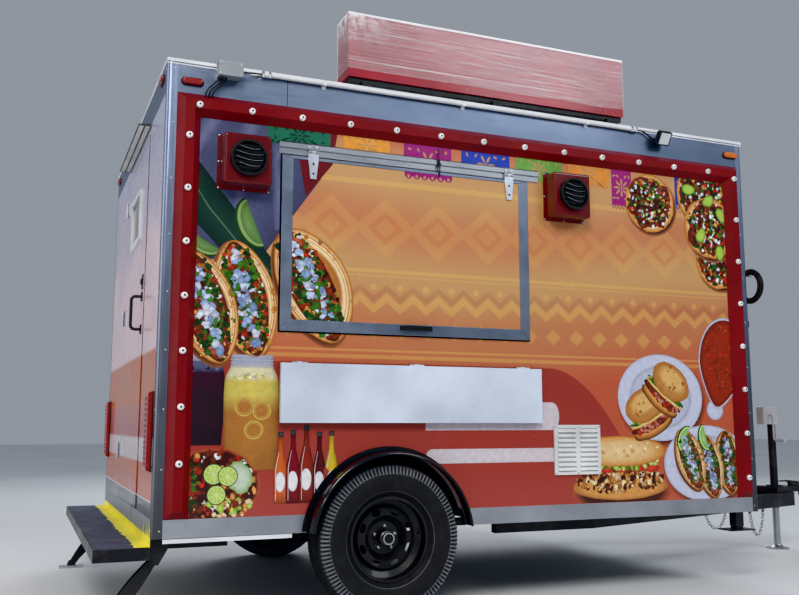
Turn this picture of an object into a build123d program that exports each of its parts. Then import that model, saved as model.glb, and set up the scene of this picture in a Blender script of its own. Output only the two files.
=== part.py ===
from build123d import *
from math import asin, asinh, atan2, cos, cosh, degrees, radians, sin, sinh, sqrt, tan
import os

# A single-axle food trailer: a hollow panelled cabin on a steel A-frame chassis.
# Millimetres, +Z up, +X forward, serving side towards -Y.
# The origin is under the middle of the tongue jack's foot, on the ground.
# Places along the body are given as distances ahead of the rear wall.

# Body
BODY_LENGTH = 3550
BODY_WIDTH = 2388
SKIRT_BOTTOM = 425
SKIRT_HEIGHT = 85
BODY_TOP = 2705
FASCIA_HEIGHT = 165
POST = 50
POST_ROUND = 20
WALL = 50
ROOF_EDGE = 55
ROOF_CROWN = 30
FLOOR_THICK = 20
SEAT_GAP = 0.3

# Chassis
CROSSMEMBER_HEIGHT = 85
CROSSMEMBER_WIDTH = 45
CHANNEL_WALL = 5
CROSSMEMBER_COUNT = 9
MAIN_RAIL_WIDTH = 50
MAIN_RAIL_HEIGHT = 40
MAIN_RAIL_Y = 840
TONGUE_HEIGHT = 100
TONGUE_WIDTH = 50
TONGUE_Y = 780
TONGUE_TAIL_BEHIND = 1580
TONGUE_BEND_BEHIND = 920
TONGUE_REACH = 1410
TONGUE_NOSE_Y = 60
JACK_AHEAD = 1300

# Running gear
AXLE_AHEAD = 1159
TYRE_RADIUS = 375
TYRE_WIDTH = 235
TYRE_PROUD = 40
TREAD_WIDTH = 186
TREAD_GROOVES = (-58, -20, 20, 58)
GROOVE_WIDTH = 9
GROOVE_DEPTH = 7
RIM_RADIUS = 200
RIM_FLANGE = 209
RIM_WIDTH = 176
RIM_WALL = 5
RIM_DROP = 32
DISC_DISH = 34
BOLT_CIRCLE_RADIUS = 57.15
LUG_COUNT = 5
STUD_RADIUS = 6.5
NUT_RADIUS = 11
NUT_HEIGHT = 20
HUB_BORE_RADIUS = 18
HUB_CLEARANCE = 0.06
DRUM_RADIUS = 132
DRUM_WIDTH = 62
AXLE_RADIUS = 30
AXLE_DROP = 102
AXLE_SEAT = 8
SPRING_LENGTH = 660
SPRING_SAG = 20
SPRING_WIDTH = 45
LEAF_THICK = 7
LEAF_COUNT = 4
EYE_RADIUS = 17
ARCH_RADIUS = 430
WELL_SHEET = 3
WELL_DEPTH = 234

# Fender flare
FENDER_PROUD = 98
FENDER_SHEET = 5
FENDER_LIP = 16
FENDER_FLANGE = 20

# Red trim round the serving side
TRIM_WIDTH = 115
TRIM_HEIGHT = 42
TRIM_RIDGE = 46
BULB_RADIUS = 15
BULB_HEIGHT = 17
BULB_COLLAR = 5
TOP_BULBS = 13
TOP_BULB_FIRST = 152
TOP_BULB_PITCH = 257.4
TOP_BULB_BELOW = 65.5
REAR_BULBS = 7
REAR_BULB_BELOW = 222
REAR_BULB_PITCH = 259.4
FRONT_BULBS = 8
FRONT_BULB_BELOW = 92
FRONT_BULB_PITCH = 260

# Serving hatch and shelf
HATCH_REAR = 575
HATCH_LENGTH = 1410
HATCH_BOTTOM = 1395
HATCH_BELOW_FASCIA = 255
HATCH_THICK = 42
HATCH_PROUD = 12
HATCH_STILE = 58
HATCH_TOP_STILE = 16
PANEL_RECESS = 3
MOVING_GAP = 6
HEADER_ABOVE = 40
HEADER_HEIGHT = 25
HEADER_REAR_REACH = 16
HEADER_FRONT_REACH = 74
HEADER_SKIRT = 33
HEADER_SKIRT_THICK = 5
HINGE_ABOVE_HATCH = 27
HATCH_HINGES = (161, 1292)
HATCH_HINGE_LENGTH = 54
HATCH_STRAP = 140
STRAP_TIP = 32
HANDLE_ALONG = 730
HANDLE_ABOVE = 38
SHELF_REAR = 580
SHELF_LENGTH = 1455
SHELF_TOP = 1238
SHELF_DROP = 290
SHELF_THICK = 24
SHELF_STANDOFF = 16
SHELF_SHEET = 2
SHELF_HINGES = (100, 728, 1355)
SHELF_HINGE_LENGTH = 80

# Rear door
DOOR_NEAR_Y = -600
DOOR_FAR_Y = 310
DOOR_BELOW_FASCIA = 50
DOOR_THICK = 42
DOOR_PROUD = 5
DOOR_WINDOW_Y = -155
DOOR_WINDOW_BELOW = 385
DOOR_WINDOW_WIDTH = 430
DOOR_WINDOW_HEIGHT = 310
WINDOW_FRAME = 35
WINDOW_LAP = 20
GLASS_THICK = 6
DOOR_HINGES = (269, 1070)
DOOR_TOP_HINGE = 220
DOOR_HINGE_LENGTH = 90
PULL_LOW = 1440
PULL_LENGTH = 175
PULL_REACH = 55
PULL_RADIUS = 8
CANOPY_ABOVE = 41
CANOPY_REACH = 68
CANOPY_SHEET = 4
CANOPY_RIB = 12
CANOPY_BAYS = 2

# Rear deck
DECK_DEPTH = 247
DECK_TOP = 389
DECK_APRON = 55
DECK_SHEET = 4
DECK_ARM_LENGTH = 420
DECK_ARM_WIDTH = 44

# Tongue end
COUPLER_BALL = 25.4
COUPLER_NOSE = 300
COUPLER_HEIGHT = 42
COUPLER_WALL = 5
JACK_TUBE = 29
JACK_WALL = 4
JACK_TOP = 940
JACK_FOOT = 85
LINK_WIRE = 5.5
LINK_INSIDE = 26
LINK_OPENING = 13
LINK_PITCH = 23.48
LINK_COUNT = 17
CHAIN_SPAN = 184
CHAIN_REACH = 902
CHAIN_EYE_DROP = 12
CHAIN_EYE_HOLE = 9
CHAIN_EYE_EDGE = 16
CHAIN_EYE_THICK = 4
EYE_SLACK = 2.2

# Stabilisers
LEG_Y = 1100
LEG_WIDTH = 50
LEG_TOP_AHEAD = 25
LEG_TOP_Z = 322
LEG_FOOT_BACK = 205
LEG_FOOT_Z = 26
LEG_BAR = 30
DROP_LEG_BACK = 90
DROP_LEG_Y = 1096
DROP_LEG_WIDTH = 60
DROP_LEG_FOOT_Z = 311

# Lamps: along the body or across it, and above the fascia's lower edge
LAMP_LENGTH = 102
LAMP_HEIGHT = 34
LAMP_DEPTH = 20
RED_MARKER = (120, 60)
AMBER_MARKER = (92, 72)
REAR_MARKER = (1040, 100)
TAIL_LAMP_Y = 1070
TAIL_LAMP_WIDTH = 96
TAIL_LAMP_LOW = 727
TAIL_LAMP_HEIGHT = 364
TAIL_LAMP_DEPTH = 28
FLOOD_AHEAD = 2905
FLOOD_ABOVE = 100
FLOOD_HALF = 42

# Vents: along the body, and below the fascia's lower edge
HOODS = ((383, 325), (2226, 323))
HOOD_WIDTH = 236
HOOD_HEIGHT = 250
HOOD_DEPTH = 100
HOOD_FLANGE = 14
CAP_RADIUS = 90
CAP_RING = 10
CAP_BLADES = 5
LOUVRE_AHEAD = 2275
LOUVRE_ABOVE = 293
LOUVRE_WIDTH = 298
LOUVRE_HEIGHT = 270
LOUVRE_BORDER = 18
LOUVRE_ROWS = 9

# Wiring on the fascia
BOX_REAR = 238
BOX_LENGTH = 115
BOX_HEIGHT = 64
BOX_DEPTH = 62
BOX_ABOVE = 96
CONDUIT_RADIUS = 11
CONDUIT_STANDOFF = 3
CONDUIT_ABOVE = 144
CONDUIT_REAR = 470
CONDUIT_FRONT = 2740
COUPLING_LENGTH = 40
SADDLES = (320, 1120, 1920)
CABLE_RADIUS = 4

# Roof sign
SIGN_REAR = 935
SIGN_LENGTH = 1745
SIGN_BACK = 26
SIGN_DEPTH = 180
SIGN_LIFT = 60
SIGN_HEIGHT = 353
BASE_INSET = 10
BASE_HEIGHT = 28
SIGN_FEET = (60, 840, 1605)

# Supply cord on the front wall
CORD_RADIUS = 5
COIL_AHEAD = 74
COIL_Y = -1136
COIL_Z = 1797
COIL_MEAN = 92
COIL_SECTION = 22
HOOK_RADIUS = 6
GLAND_Y = -980
GLAND_Z = 1480
GLAND_REACH = 34

# Derived planes
HALF_WIDTH = BODY_WIDTH / 2
FRONT = -JACK_AHEAD
REAR = FRONT - BODY_LENGTH
SKIRT_TOP = SKIRT_BOTTOM + SKIRT_HEIGHT
FASCIA_BOTTOM = BODY_TOP - FASCIA_HEIGHT
CROSSMEMBER_BOTTOM = SKIRT_TOP - CROSSMEMBER_HEIGHT
FLOOR_TOP = SKIRT_TOP + FLOOR_THICK
MAIN_RAIL_BOTTOM = CROSSMEMBER_BOTTOM - MAIN_RAIL_HEIGHT
TONGUE_BOTTOM = CROSSMEMBER_BOTTOM - TONGUE_HEIGHT
INNER_Y = HALF_WIDTH - WALL
AXLE_X = REAR + AXLE_AHEAD
AXLE_Z = TYRE_RADIUS
TYRE_Y = HALF_WIDTH + TYRE_PROUD - TYRE_WIDTH / 2
NEAR_FACE = -HALF_WIDTH
TUBE_Z = AXLE_Z - AXLE_DROP
SEAT_TOP = TUBE_Z + AXLE_RADIUS + AXLE_SEAT
SPRING_TOP = SEAT_TOP + SEAT_GAP + LEAF_COUNT * LEAF_THICK
EYE_Z = SPRING_TOP + SPRING_SAG
HATCH_FRONT = NEAR_FACE - HATCH_PROUD
HATCH_HEIGHT = FASCIA_BOTTOM - HATCH_BELOW_FASCIA - HATCH_BOTTOM
HATCH_HINGE_Z = HATCH_BOTTOM + HATCH_HEIGHT + HINGE_ABOVE_HATCH
HATCH_HINGE_Y = HATCH_FRONT - 2
SHELF_HINGE_Y = NEAR_FACE - SHELF_STANDOFF / 2
SHELF_HINGE_Z = SHELF_TOP + 3
DOOR_FRONT = REAR - DOOR_PROUD
DOOR_HINGE_X = REAR - 13
DOOR_HINGE_Y = DOOR_FAR_Y + 3
DOOR_BOTTOM = SKIRT_TOP + MOVING_GAP
DOOR_TOP = FASCIA_BOTTOM - DOOR_BELOW_FASCIA
DOOR_WINDOW_Z = DOOR_TOP - DOOR_WINDOW_BELOW
BALL_Z = CROSSMEMBER_BOTTOM - 8
COUPLER_LOW = CROSSMEMBER_BOTTOM + SEAT_GAP
COUPLER_TOP = COUPLER_LOW + COUPLER_HEIGHT
CONDUIT_Z = FASCIA_BOTTOM + CONDUIT_ABOVE
CONDUIT_Y = NEAR_FACE - CONDUIT_RADIUS - CONDUIT_STANDOFF
SIGN_BOTTOM = BODY_TOP + SIGN_LIFT
COIL_X = FRONT + COIL_AHEAD

# Cable routes: along the body, out from the serving wall, above the fascia's lower edge
FIXED_CABLES = (
    ((353, -42, 128), (385, -42, 128), (412, -34, 136), (438, -14, 144), (470, -14, 144)),
    ((2740, -14, 144), (2784, -14, 144), (2826, -13, 124), (2858, -14, 100), (2896, -14, 100)),
    ((246, -28, 94.4), (242, -29, 80), (218, -33, 52), (192, -36, 26), (181, -34, 1), (181, -20, -16)),
    ((262, -28, 94.4), (258, -29, 77), (234, -33, 49), (208, -36, 24), (197, -34, 1), (197, -20, -16)),
    ((278, -28, 94.4), (274, -29, 74), (250, -33, 46), (224, -36, 22), (213, -34, 1), (213, -20, -16)),
)

# Cord routes: the lead from its gland to the coil, and the tail from the coil to its plug
CORD_ROUTE = (
    (FRONT + GLAND_REACH, GLAND_Y, GLAND_Z),
    (FRONT + 80, GLAND_Y, GLAND_Z),
    (FRONT + 112, -986, 1500),
    (FRONT + 112, -1010, 1560),
    (FRONT + 88, -1034, 1630),
    (FRONT + 64, -1046, 1692),
    (FRONT + 62, -1046, 1750),
)
TAIL_ROUTE = (
    (FRONT + 84, -1058, 1742),
    (FRONT + 88, -1064, 1694),
    (FRONT + 90, -1067, 1646),
    (FRONT + 90, -1067, 1606),
)

nodes = {}
FROM_BASE = (Align.CENTER, Align.CENTER, Align.MIN)


def block(x0, x1, y0, y1, z0, z1):
    """A block between two opposite corners."""
    size = Box(x1 - x0, y1 - y0, z1 - z0)
    return Pos((x0 + x1) / 2, (y0 + y1) / 2, (z0 + z1) / 2) * size


def rod(start, end, radius):
    """A round bar from one point to another."""
    line = Vector(*end) - Vector(*start)
    plane = Plane(origin=start, z_dir=line)
    return plane * Cylinder(radius, line.length, align=FROM_BASE)


def side_profile(face, y0, y1):
    """A face drawn in X and Z, given its thickness along Y."""
    return Pos(0, y1, 0) * extrude(Plane.XZ * face, amount=y1 - y0)


def cross_profile(face, x0, x1):
    """A face drawn in Y and Z, given its length along X."""
    return Pos(x0, 0, 0) * extrude(Plane.YZ * face, amount=x1 - x0)


def polygon(*points):
    return make_face(Polyline(*points, close=True))


def both_sides(part):
    """The part and its mirror image on the other side of the centreline."""
    return part + mirror(part, Plane.XZ)


def joined(*groups):
    """Groups of solids that stand apart, as one compound."""
    return Compound(children=[solid for group in groups for solid in group.solids()])


def tube_along(points, radius, bends):
    """A round cable or tube on straight runs joined by tangent arcs."""
    path = FilletPolyline(*points, radius=bends)
    start = Plane(origin=path @ 0, z_dir=path % 0)
    return sweep(start * Circle(radius), path=path)


def bend_radii(points):
    """The arc at each corner, as large as its two runs allow."""
    radii = []
    for before, corner, after in zip(points, points[1:], points[2:]):
        run_in = Vector(*corner) - Vector(*before)
        run_out = Vector(*after) - Vector(*corner)
        turn = radians(run_in.get_angle(run_out))
        radii.append(0.45 * min(run_in.length, run_out.length) / tan(turn / 2))
    return radii


# Body shell

def corner_posts():
    """Four full-height aluminium corner extrusions, round on the outside."""
    posts = Part()
    for x_out, x_in in ((REAR, REAR + POST), (FRONT, FRONT - POST)):
        post = block(min(x_out, x_in), max(x_out, x_in), -HALF_WIDTH, POST - HALF_WIDTH,
                     SKIRT_BOTTOM, BODY_TOP)
        outer = post.edges().filter_by(Axis.Z).sort_by_distance((x_out, -HALF_WIDTH, BODY_TOP / 2))[0]
        posts += both_sides(fillet(outer, POST_ROUND))
    return posts


def rail_ring(bottom, top):
    """Side, front and rear rails between the posts, at one height."""
    side = block(REAR + POST, FRONT - POST, -HALF_WIDTH, POST - HALF_WIDTH, bottom, top)
    ring = both_sides(side)
    for x in (REAR, FRONT - POST):
        ring += block(x, x + POST, POST - HALF_WIDTH, HALF_WIDTH - POST, bottom, top)
    return ring


def arch_cutter(radius, y0, y1):
    """The round of a wheel arch, cut through from y0 to y1."""
    disc = Pos(AXLE_X, AXLE_Z) * Circle(radius)
    return side_profile(disc, y0, y1)


def skirt_rails():
    ring = rail_ring(SKIRT_BOTTOM, SKIRT_TOP)
    return ring - both_sides(arch_cutter(ARCH_RADIUS, -HALF_WIDTH - 1, POST - HALF_WIDTH + 1))


def side_wall():
    """One long wall on the serving side, before its window is cut."""
    wall = block(REAR + POST, FRONT - POST, -HALF_WIDTH, WALL - HALF_WIDTH, SKIRT_TOP, FASCIA_BOTTOM)
    return wall - arch_cutter(ARCH_RADIUS, -HALF_WIDTH - 1, WALL - HALF_WIDTH + 1)


def serving_wall():
    window = block(REAR + HATCH_REAR - MOVING_GAP, REAR + HATCH_REAR + HATCH_LENGTH + MOVING_GAP,
                   -HALF_WIDTH - 1, WALL - HALF_WIDTH + 1,
                   HATCH_BOTTOM - MOVING_GAP, HATCH_BOTTOM + HATCH_HEIGHT + MOVING_GAP)
    return side_wall() - window


def front_wall():
    return block(FRONT - WALL, FRONT, POST - HALF_WIDTH, HALF_WIDTH - POST, SKIRT_TOP, FASCIA_BOTTOM)


def rear_wall():
    wall = block(REAR, REAR + WALL, POST - HALF_WIDTH, HALF_WIDTH - POST, SKIRT_TOP, FASCIA_BOTTOM)
    doorway = block(REAR - 1, REAR + WALL + 1, DOOR_NEAR_Y - MOVING_GAP, DOOR_FAR_Y + MOVING_GAP,
                    SKIRT_TOP - 1, DOOR_TOP + MOVING_GAP)
    return wall - doorway


def floor_sheet():
    """The cabin floor, with a notch round each wheel well."""
    sheet = block(REAR + POST, FRONT - POST, -INNER_Y, INNER_Y, SKIRT_TOP, FLOOR_TOP)
    reach = ARCH_RADIUS + WELL_SHEET
    notch = block(AXLE_X - reach, AXLE_X + reach, -INNER_Y - 1, WELL_DEPTH + WELL_SHEET - HALF_WIDTH,
                  SKIRT_TOP - 1, FLOOR_TOP + 1)
    return sheet - both_sides(notch)


def roof_panel():
    """A slab between the fascia rails whose top is a shallow crown."""
    half = HALF_WIDTH - POST
    low = BODY_TOP - ROOF_EDGE
    outline = Line((half, low), (half, BODY_TOP)) + ThreePointArc(
        (half, BODY_TOP), (0, BODY_TOP + ROOF_CROWN), (-half, BODY_TOP))
    outline += Polyline((-half, BODY_TOP), (-half, low), (half, low))
    return cross_profile(make_face(outline), REAR + POST, FRONT - POST)


def wheel_wells():
    """Half-round sheet boxes that close the arches inside the cabin."""
    y0 = WALL - HALF_WIDTH + SEAT_GAP
    y1 = WELL_DEPTH - HALF_WIDTH
    outer = arch_cutter(ARCH_RADIUS + WELL_SHEET, y0, y1 + WELL_SHEET)
    hollow = arch_cutter(ARCH_RADIUS, y0 - 1, y1)
    below = block(AXLE_X - 2 * ARCH_RADIUS, AXLE_X + 2 * ARCH_RADIUS, -HALF_WIDTH, 0, -ARCH_RADIUS, SKIRT_TOP)
    return both_sides(outer - hollow - below)


# Chassis

def crossmembers():
    """Steel channels across the trailer under the floor."""
    first = REAR + POST
    last = FRONT - POST - CROSSMEMBER_WIDTH
    pitch = (last - first) / (CROSSMEMBER_COUNT - 1)
    low = CROSSMEMBER_BOTTOM
    channels = Part()
    for index in range(CROSSMEMBER_COUNT):
        x = first + index * pitch
        wall = CHANNEL_WALL
        face = polygon((x, low), (x + CROSSMEMBER_WIDTH, low), (x + CROSSMEMBER_WIDTH, low + wall),
                       (x + wall, low + wall), (x + wall, SKIRT_TOP - wall),
                       (x + CROSSMEMBER_WIDTH, SKIRT_TOP - wall), (x + CROSSMEMBER_WIDTH, SKIRT_TOP),
                       (x, SKIRT_TOP))
        beside_wheel = abs(x + CROSSMEMBER_WIDTH / 2 - AXLE_X) < ARCH_RADIUS + CROSSMEMBER_WIDTH
        reach = HALF_WIDTH - WELL_DEPTH if beside_wheel else HALF_WIDTH - POST
        channels += side_profile(face, -reach, reach)
    return channels


def main_rails():
    """Two box rails along the cabin, over the springs."""
    rail = block(REAR + POST, FRONT - POST, -MAIN_RAIL_Y - MAIN_RAIL_WIDTH / 2,
                 -MAIN_RAIL_Y + MAIN_RAIL_WIDTH / 2, MAIN_RAIL_BOTTOM, CROSSMEMBER_BOTTOM)
    long_edges = rail.edges().filter_by(Axis.X)
    return both_sides(fillet(long_edges, 6))


def tongue_side(shift):
    """Points of one tongue beam's side line, `shift` outside its middle."""
    run = TONGUE_REACH + TONGUE_BEND_BEHIND
    slope = atan2(TONGUE_Y - TONGUE_NOSE_Y, run)
    knee = FRONT - TONGUE_BEND_BEHIND + shift * tan(slope / 2)
    nose_y = TONGUE_NOSE_Y + shift / cos(slope)
    return [(FRONT - TONGUE_TAIL_BEHIND, TONGUE_Y + shift), (knee, TONGUE_Y + shift),
            (FRONT + TONGUE_REACH, nose_y)]


def tongue_beams():
    """Two beams that lie under the floor and run together at the coupler."""
    outline = tongue_side(TONGUE_WIDTH / 2) + tongue_side(-TONGUE_WIDTH / 2)[::-1]
    beam = extrude(polygon(*outline), amount=TONGUE_HEIGHT)
    return both_sides(Pos(0, 0, TONGUE_BOTTOM) * beam)


# Running gear

def turned(face, y, side):
    """A face drawn as distance outwards and radius, turned about the axle."""
    ring = revolve(Plane.YZ * face, Axis.Y)
    placed = ring if side > 0 else mirror(ring, Plane.XZ)
    return Pos(AXLE_X, side * y, AXLE_Z) * placed


def tyre(side):
    half = TYRE_WIDTH / 2
    tread = TREAD_WIDTH / 2
    bead = RIM_WIDTH / 2 - RIM_WALL - SEAT_GAP
    shoulder = TYRE_RADIUS - 16
    bulge = RIM_RADIUS + 100
    inner = RIM_RADIUS + SEAT_GAP
    rise = RIM_FLANGE + 8
    outline = Line((-bead, inner), (bead, inner))
    outline += Line((bead, inner), (bead, rise))
    edge = TYRE_RADIUS - 1
    outline += ThreePointArc((bead, rise), (half, bulge), (tread + 14, shoulder))
    outline += ThreePointArc((tread + 14, shoulder), (tread + 8, TYRE_RADIUS - 5), (tread - 6, edge))
    outline += ThreePointArc((tread - 6, edge), (0, TYRE_RADIUS), (6 - tread, edge))
    outline += ThreePointArc((6 - tread, edge), (-tread - 8, TYRE_RADIUS - 5), (-tread - 14, shoulder))
    outline += ThreePointArc((-tread - 14, shoulder), (-half, bulge), (-bead, rise))
    outline += Line((-bead, rise), (-bead, inner))
    section = make_face(outline)
    for y in TREAD_GROOVES:
        section -= Pos(y, TYRE_RADIUS) * Rectangle(GROOVE_WIDTH, 2 * GROOVE_DEPTH)
    return turned(section, TYRE_Y, side)


def rim(side):
    """A one-piece steel wheel: flanges, drop centre, dished disc with windows."""
    half = RIM_WIDTH / 2
    seat = RIM_RADIUS
    drop = RIM_RADIUS - RIM_DROP
    wall = RIM_WALL
    under = seat - wall
    floor = drop - wall
    barrel = polygon((-half, RIM_FLANGE), (-half + wall, RIM_FLANGE), (-half + wall, seat),
                     (-half + 45, seat), (-half + 58, drop), (half - 74, drop), (half - 58, seat),
                     (half - wall, seat), (half - wall, RIM_FLANGE), (half, RIM_FLANGE), (half, under),
                     (half - 62, under), (half - 78, floor), (-half + 54, floor), (-half + 41, under),
                     (-half, under))
    hub_hole = 42
    disc = polygon((0, hub_hole), (0, 82), (DISC_DISH, 112), (DISC_DISH - 6, 150), (8, floor + 1),
                   (0, floor + 1), (DISC_DISH - 14, 150), (DISC_DISH - 7, 116), (-7, 85), (-7, hub_hole))
    wheel = revolve(Plane.YZ * barrel, Axis.Y) + revolve(Plane.YZ * disc, Axis.Y)
    window = Rot(90, 0, 0) * extrude(SlotOverall(46, 26), amount=80, both=True)
    for turn in range(8):
        wheel -= Rot(0, turn * 45 + 22.5, 0) * Pos(0, 0, 132) * window
    lug_hole = Rot(90, 0, 0) * Cylinder(STUD_RADIUS + 1.5, 40)
    for turn in range(LUG_COUNT):
        wheel -= Rot(0, turn * 360 / LUG_COUNT, 0) * Pos(0, 0, BOLT_CIRCLE_RADIUS) * lug_hole
    placed = wheel if side > 0 else mirror(wheel, Plane.XZ)
    return Pos(AXLE_X, side * TYRE_Y, AXLE_Z) * placed


def hub(side):
    """Hub and brake drum in one casting, with studs, nuts and a grease cap."""
    face = -7 - SEAT_GAP
    bore = HUB_BORE_RADIUS + HUB_CLEARANCE
    back = face - DRUM_WIDTH
    inside = DRUM_RADIUS - 7
    body = polygon((back, bore), (back, 34), (face - 14, 40), (face - 14, inside), (back, inside),
                   (back, DRUM_RADIUS), (face - 6, DRUM_RADIUS), (face, DRUM_RADIUS - 8), (face, 38),
                   (48, 36), (52, 30), (70, 27), (74, 20), (74, 0), (40, 0), (40, bore))
    casting = revolve(Plane.YZ * body, Axis.Y)
    stud = Rot(-90, 0, 0) * Cylinder(STUD_RADIUS, 34, align=FROM_BASE)
    nut = Rot(-90, 0, 0) * extrude(RegularPolygon(NUT_RADIUS, 6), amount=NUT_HEIGHT)
    for turn in range(LUG_COUNT):
        spin = Rot(0, turn * 360 / LUG_COUNT, 0)
        casting += spin * Pos(0, face - 2, BOLT_CIRCLE_RADIUS) * stud
        casting += spin * Pos(0, SEAT_GAP, BOLT_CIRCLE_RADIUS) * nut
    placed = casting if side > 0 else mirror(casting, Plane.XZ)
    return Pos(AXLE_X, side * TYRE_Y, AXLE_Z) * placed


def axle():
    """A dropped tube: cranked up at each end to the spindle, with spring seats."""
    hub_back = TYRE_Y - 7 - SEAT_GAP - DRUM_WIDTH
    tip = TYRE_Y + 34
    knee = (AXLE_X, -MAIN_RAIL_Y - 55, TUBE_Z)
    shoulder = (AXLE_X, -hub_back + 60, AXLE_Z)
    half = rod((AXLE_X, 0, TUBE_Z), knee, AXLE_RADIUS)
    half += rod(knee, shoulder, AXLE_RADIUS)
    half += rod(shoulder, (AXLE_X, -hub_back + 12, AXLE_Z), AXLE_RADIUS)
    half += rod(shoulder, (AXLE_X, -tip, AXLE_Z), HUB_BORE_RADIUS)
    half += Pos(*knee) * Sphere(AXLE_RADIUS) + Pos(*shoulder) * Sphere(AXLE_RADIUS)
    half += block(AXLE_X - 45, AXLE_X + 45, -MAIN_RAIL_Y - SPRING_WIDTH / 2, -MAIN_RAIL_Y + SPRING_WIDTH / 2,
                  TUBE_Z, SEAT_TOP)
    return both_sides(half)


def leaf_springs():
    """Leaf packs over the axle: shorter leaves below a main leaf with eyes."""
    radius = (SPRING_LENGTH ** 2 / 4 + SPRING_SAG ** 2) / (2 * SPRING_SAG)
    centre = SPRING_TOP + radius
    pack = Part()
    for leaf in range(LEAF_COUNT):
        top = radius + leaf * LEAF_THICK
        low = top + LEAF_THICK
        half = asin(SPRING_LENGTH / 2 * (1 - 0.2 * leaf) / radius)
        end = (sin(half), -cos(half))
        outline = ThreePointArc((-top * end[0], top * end[1]), (0, -top), (top * end[0], top * end[1]))
        outline += Line((top * end[0], top * end[1]), (low * end[0], low * end[1]))
        outline += ThreePointArc((low * end[0], low * end[1]), (0, -low), (-low * end[0], low * end[1]))
        outline += Line((-low * end[0], low * end[1]), (-top * end[0], top * end[1]))
        pack += Plane.XZ * Pos(AXLE_X, centre) * make_face(outline)
    spring = extrude(pack, amount=SPRING_WIDTH)
    for end in (-1, 1):
        at = (AXLE_X + end * SPRING_LENGTH / 2, EYE_Z)
        spring += extrude(Plane.XZ * Pos(*at) * Circle(EYE_RADIUS), amount=SPRING_WIDTH)
        spring -= extrude(Plane.XZ * Pos(*at) * Circle(9), amount=SPRING_WIDTH)
    return both_sides(Pos(0, SPRING_WIDTH / 2 - MAIN_RAIL_Y, 0) * spring)


def spring_hangers():
    """Forks under the main rails, each with the pin through a spring eye."""
    hangers = Part()
    for end in (-1, 1):
        x = AXLE_X + end * SPRING_LENGTH / 2
        face = polygon((x - 42, MAIN_RAIL_BOTTOM), (x + 42, MAIN_RAIL_BOTTOM), (x + 20, EYE_Z - 20),
                       (x - 20, EYE_Z - 20))
        half = SPRING_WIDTH / 2
        for low, high in ((-half - 7, -half - 1), (half + 1, half + 7)):
            hangers += side_profile(face, low - MAIN_RAIL_Y, high - MAIN_RAIL_Y)
        top = block(x - 42, x + 42, -half - 7 - MAIN_RAIL_Y, half + 7 - MAIN_RAIL_Y,
                    MAIN_RAIL_BOTTOM - 6, MAIN_RAIL_BOTTOM)
        hangers += top
        pin_reach = half + 14
        hangers += rod((x, -MAIN_RAIL_Y - pin_reach, EYE_Z), (x, -MAIN_RAIL_Y + pin_reach, EYE_Z), 8.5)
    return both_sides(hangers)


def u_bolts():
    """Two U-bolts round the axle tube and a plate on top clamp each spring."""
    half = SPRING_WIDTH / 2
    bolt = 5
    plate_low = SPRING_TOP + 0.8
    arch = AXLE_RADIUS + bolt + 1
    clamp = block(-50, 50, -half - 18, half + 18, plate_low, plate_low + 10)
    ring = Circle(arch + bolt) - Circle(arch - bolt)
    for y in (-half - 7, half + 7):
        lower = Pos(0, y + bolt, TUBE_Z) * extrude(Plane.XZ * ring, amount=2 * bolt)
        clamp += lower - block(-60, 60, y - 20, y + 20, TUBE_Z, TUBE_Z + 60)
        for x in (-arch, arch):
            clamp += rod((x, y, TUBE_Z), (x, y, plate_low + 22), bolt)
    return both_sides(Pos(AXLE_X, -MAIN_RAIL_Y, 0) * clamp)


def fenders():
    """Half-round flares with a flange on the wall and a rolled outer lip."""
    inner = ARCH_RADIUS + 2
    outer = inner + FENDER_SHEET
    tip = FENDER_PROUD
    outline = Polyline((0, outer + FENDER_FLANGE), (0, inner), (tip - 14, inner - 4))
    outline += ThreePointArc((tip - 14, inner - 4), (tip - 8, inner - 7), (tip - FENDER_SHEET, inner - 13))
    outline += Polyline((tip - FENDER_SHEET, inner - 13), (tip - FENDER_SHEET, inner - FENDER_LIP),
                        (tip, inner - FENDER_LIP), (tip, inner - 11))
    outline += ThreePointArc((tip, inner - 11), (tip - 5, inner - 2), (tip - 14, outer - 4))
    outline += Polyline((tip - 14, outer - 4), (FENDER_SHEET, outer), (FENDER_SHEET, outer + FENDER_FLANGE),
                        (0, outer + FENDER_FLANGE))
    flare = revolve(Plane.YZ * make_face(outline), Axis.Y)
    flare = Pos(AXLE_X, HALF_WIDTH, AXLE_Z) * flare
    reach = outer + FENDER_FLANGE + 1
    lower = block(AXLE_X - reach, AXLE_X + reach, HALF_WIDTH - 1, HALF_WIDTH + tip + 1,
                  AXLE_Z - reach, SKIRT_BOTTOM + 4)
    return both_sides(flare - lower)


# Trim and bulbs

def serving_trim():
    """A raised red frame on the rear, top and front of the serving wall."""
    x0 = REAR + POST
    x1 = FRONT - POST
    w = TRIM_WIDTH
    top = FASCIA_BOTTOM
    outline = polygon((x0, SKIRT_TOP), (x0 + w, SKIRT_TOP), (x0 + w, top - w), (x1 - w, top - w),
                      (x1 - w, SKIRT_TOP), (x1, SKIRT_TOP), (x1, top), (x0, top))
    slope = degrees(atan2((TRIM_WIDTH - TRIM_RIDGE) / 2, TRIM_HEIGHT))
    frame = extrude(Plane.XZ * outline, amount=TRIM_HEIGHT, taper=slope)
    return Pos(0, NEAR_FACE, 0) * frame


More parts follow.
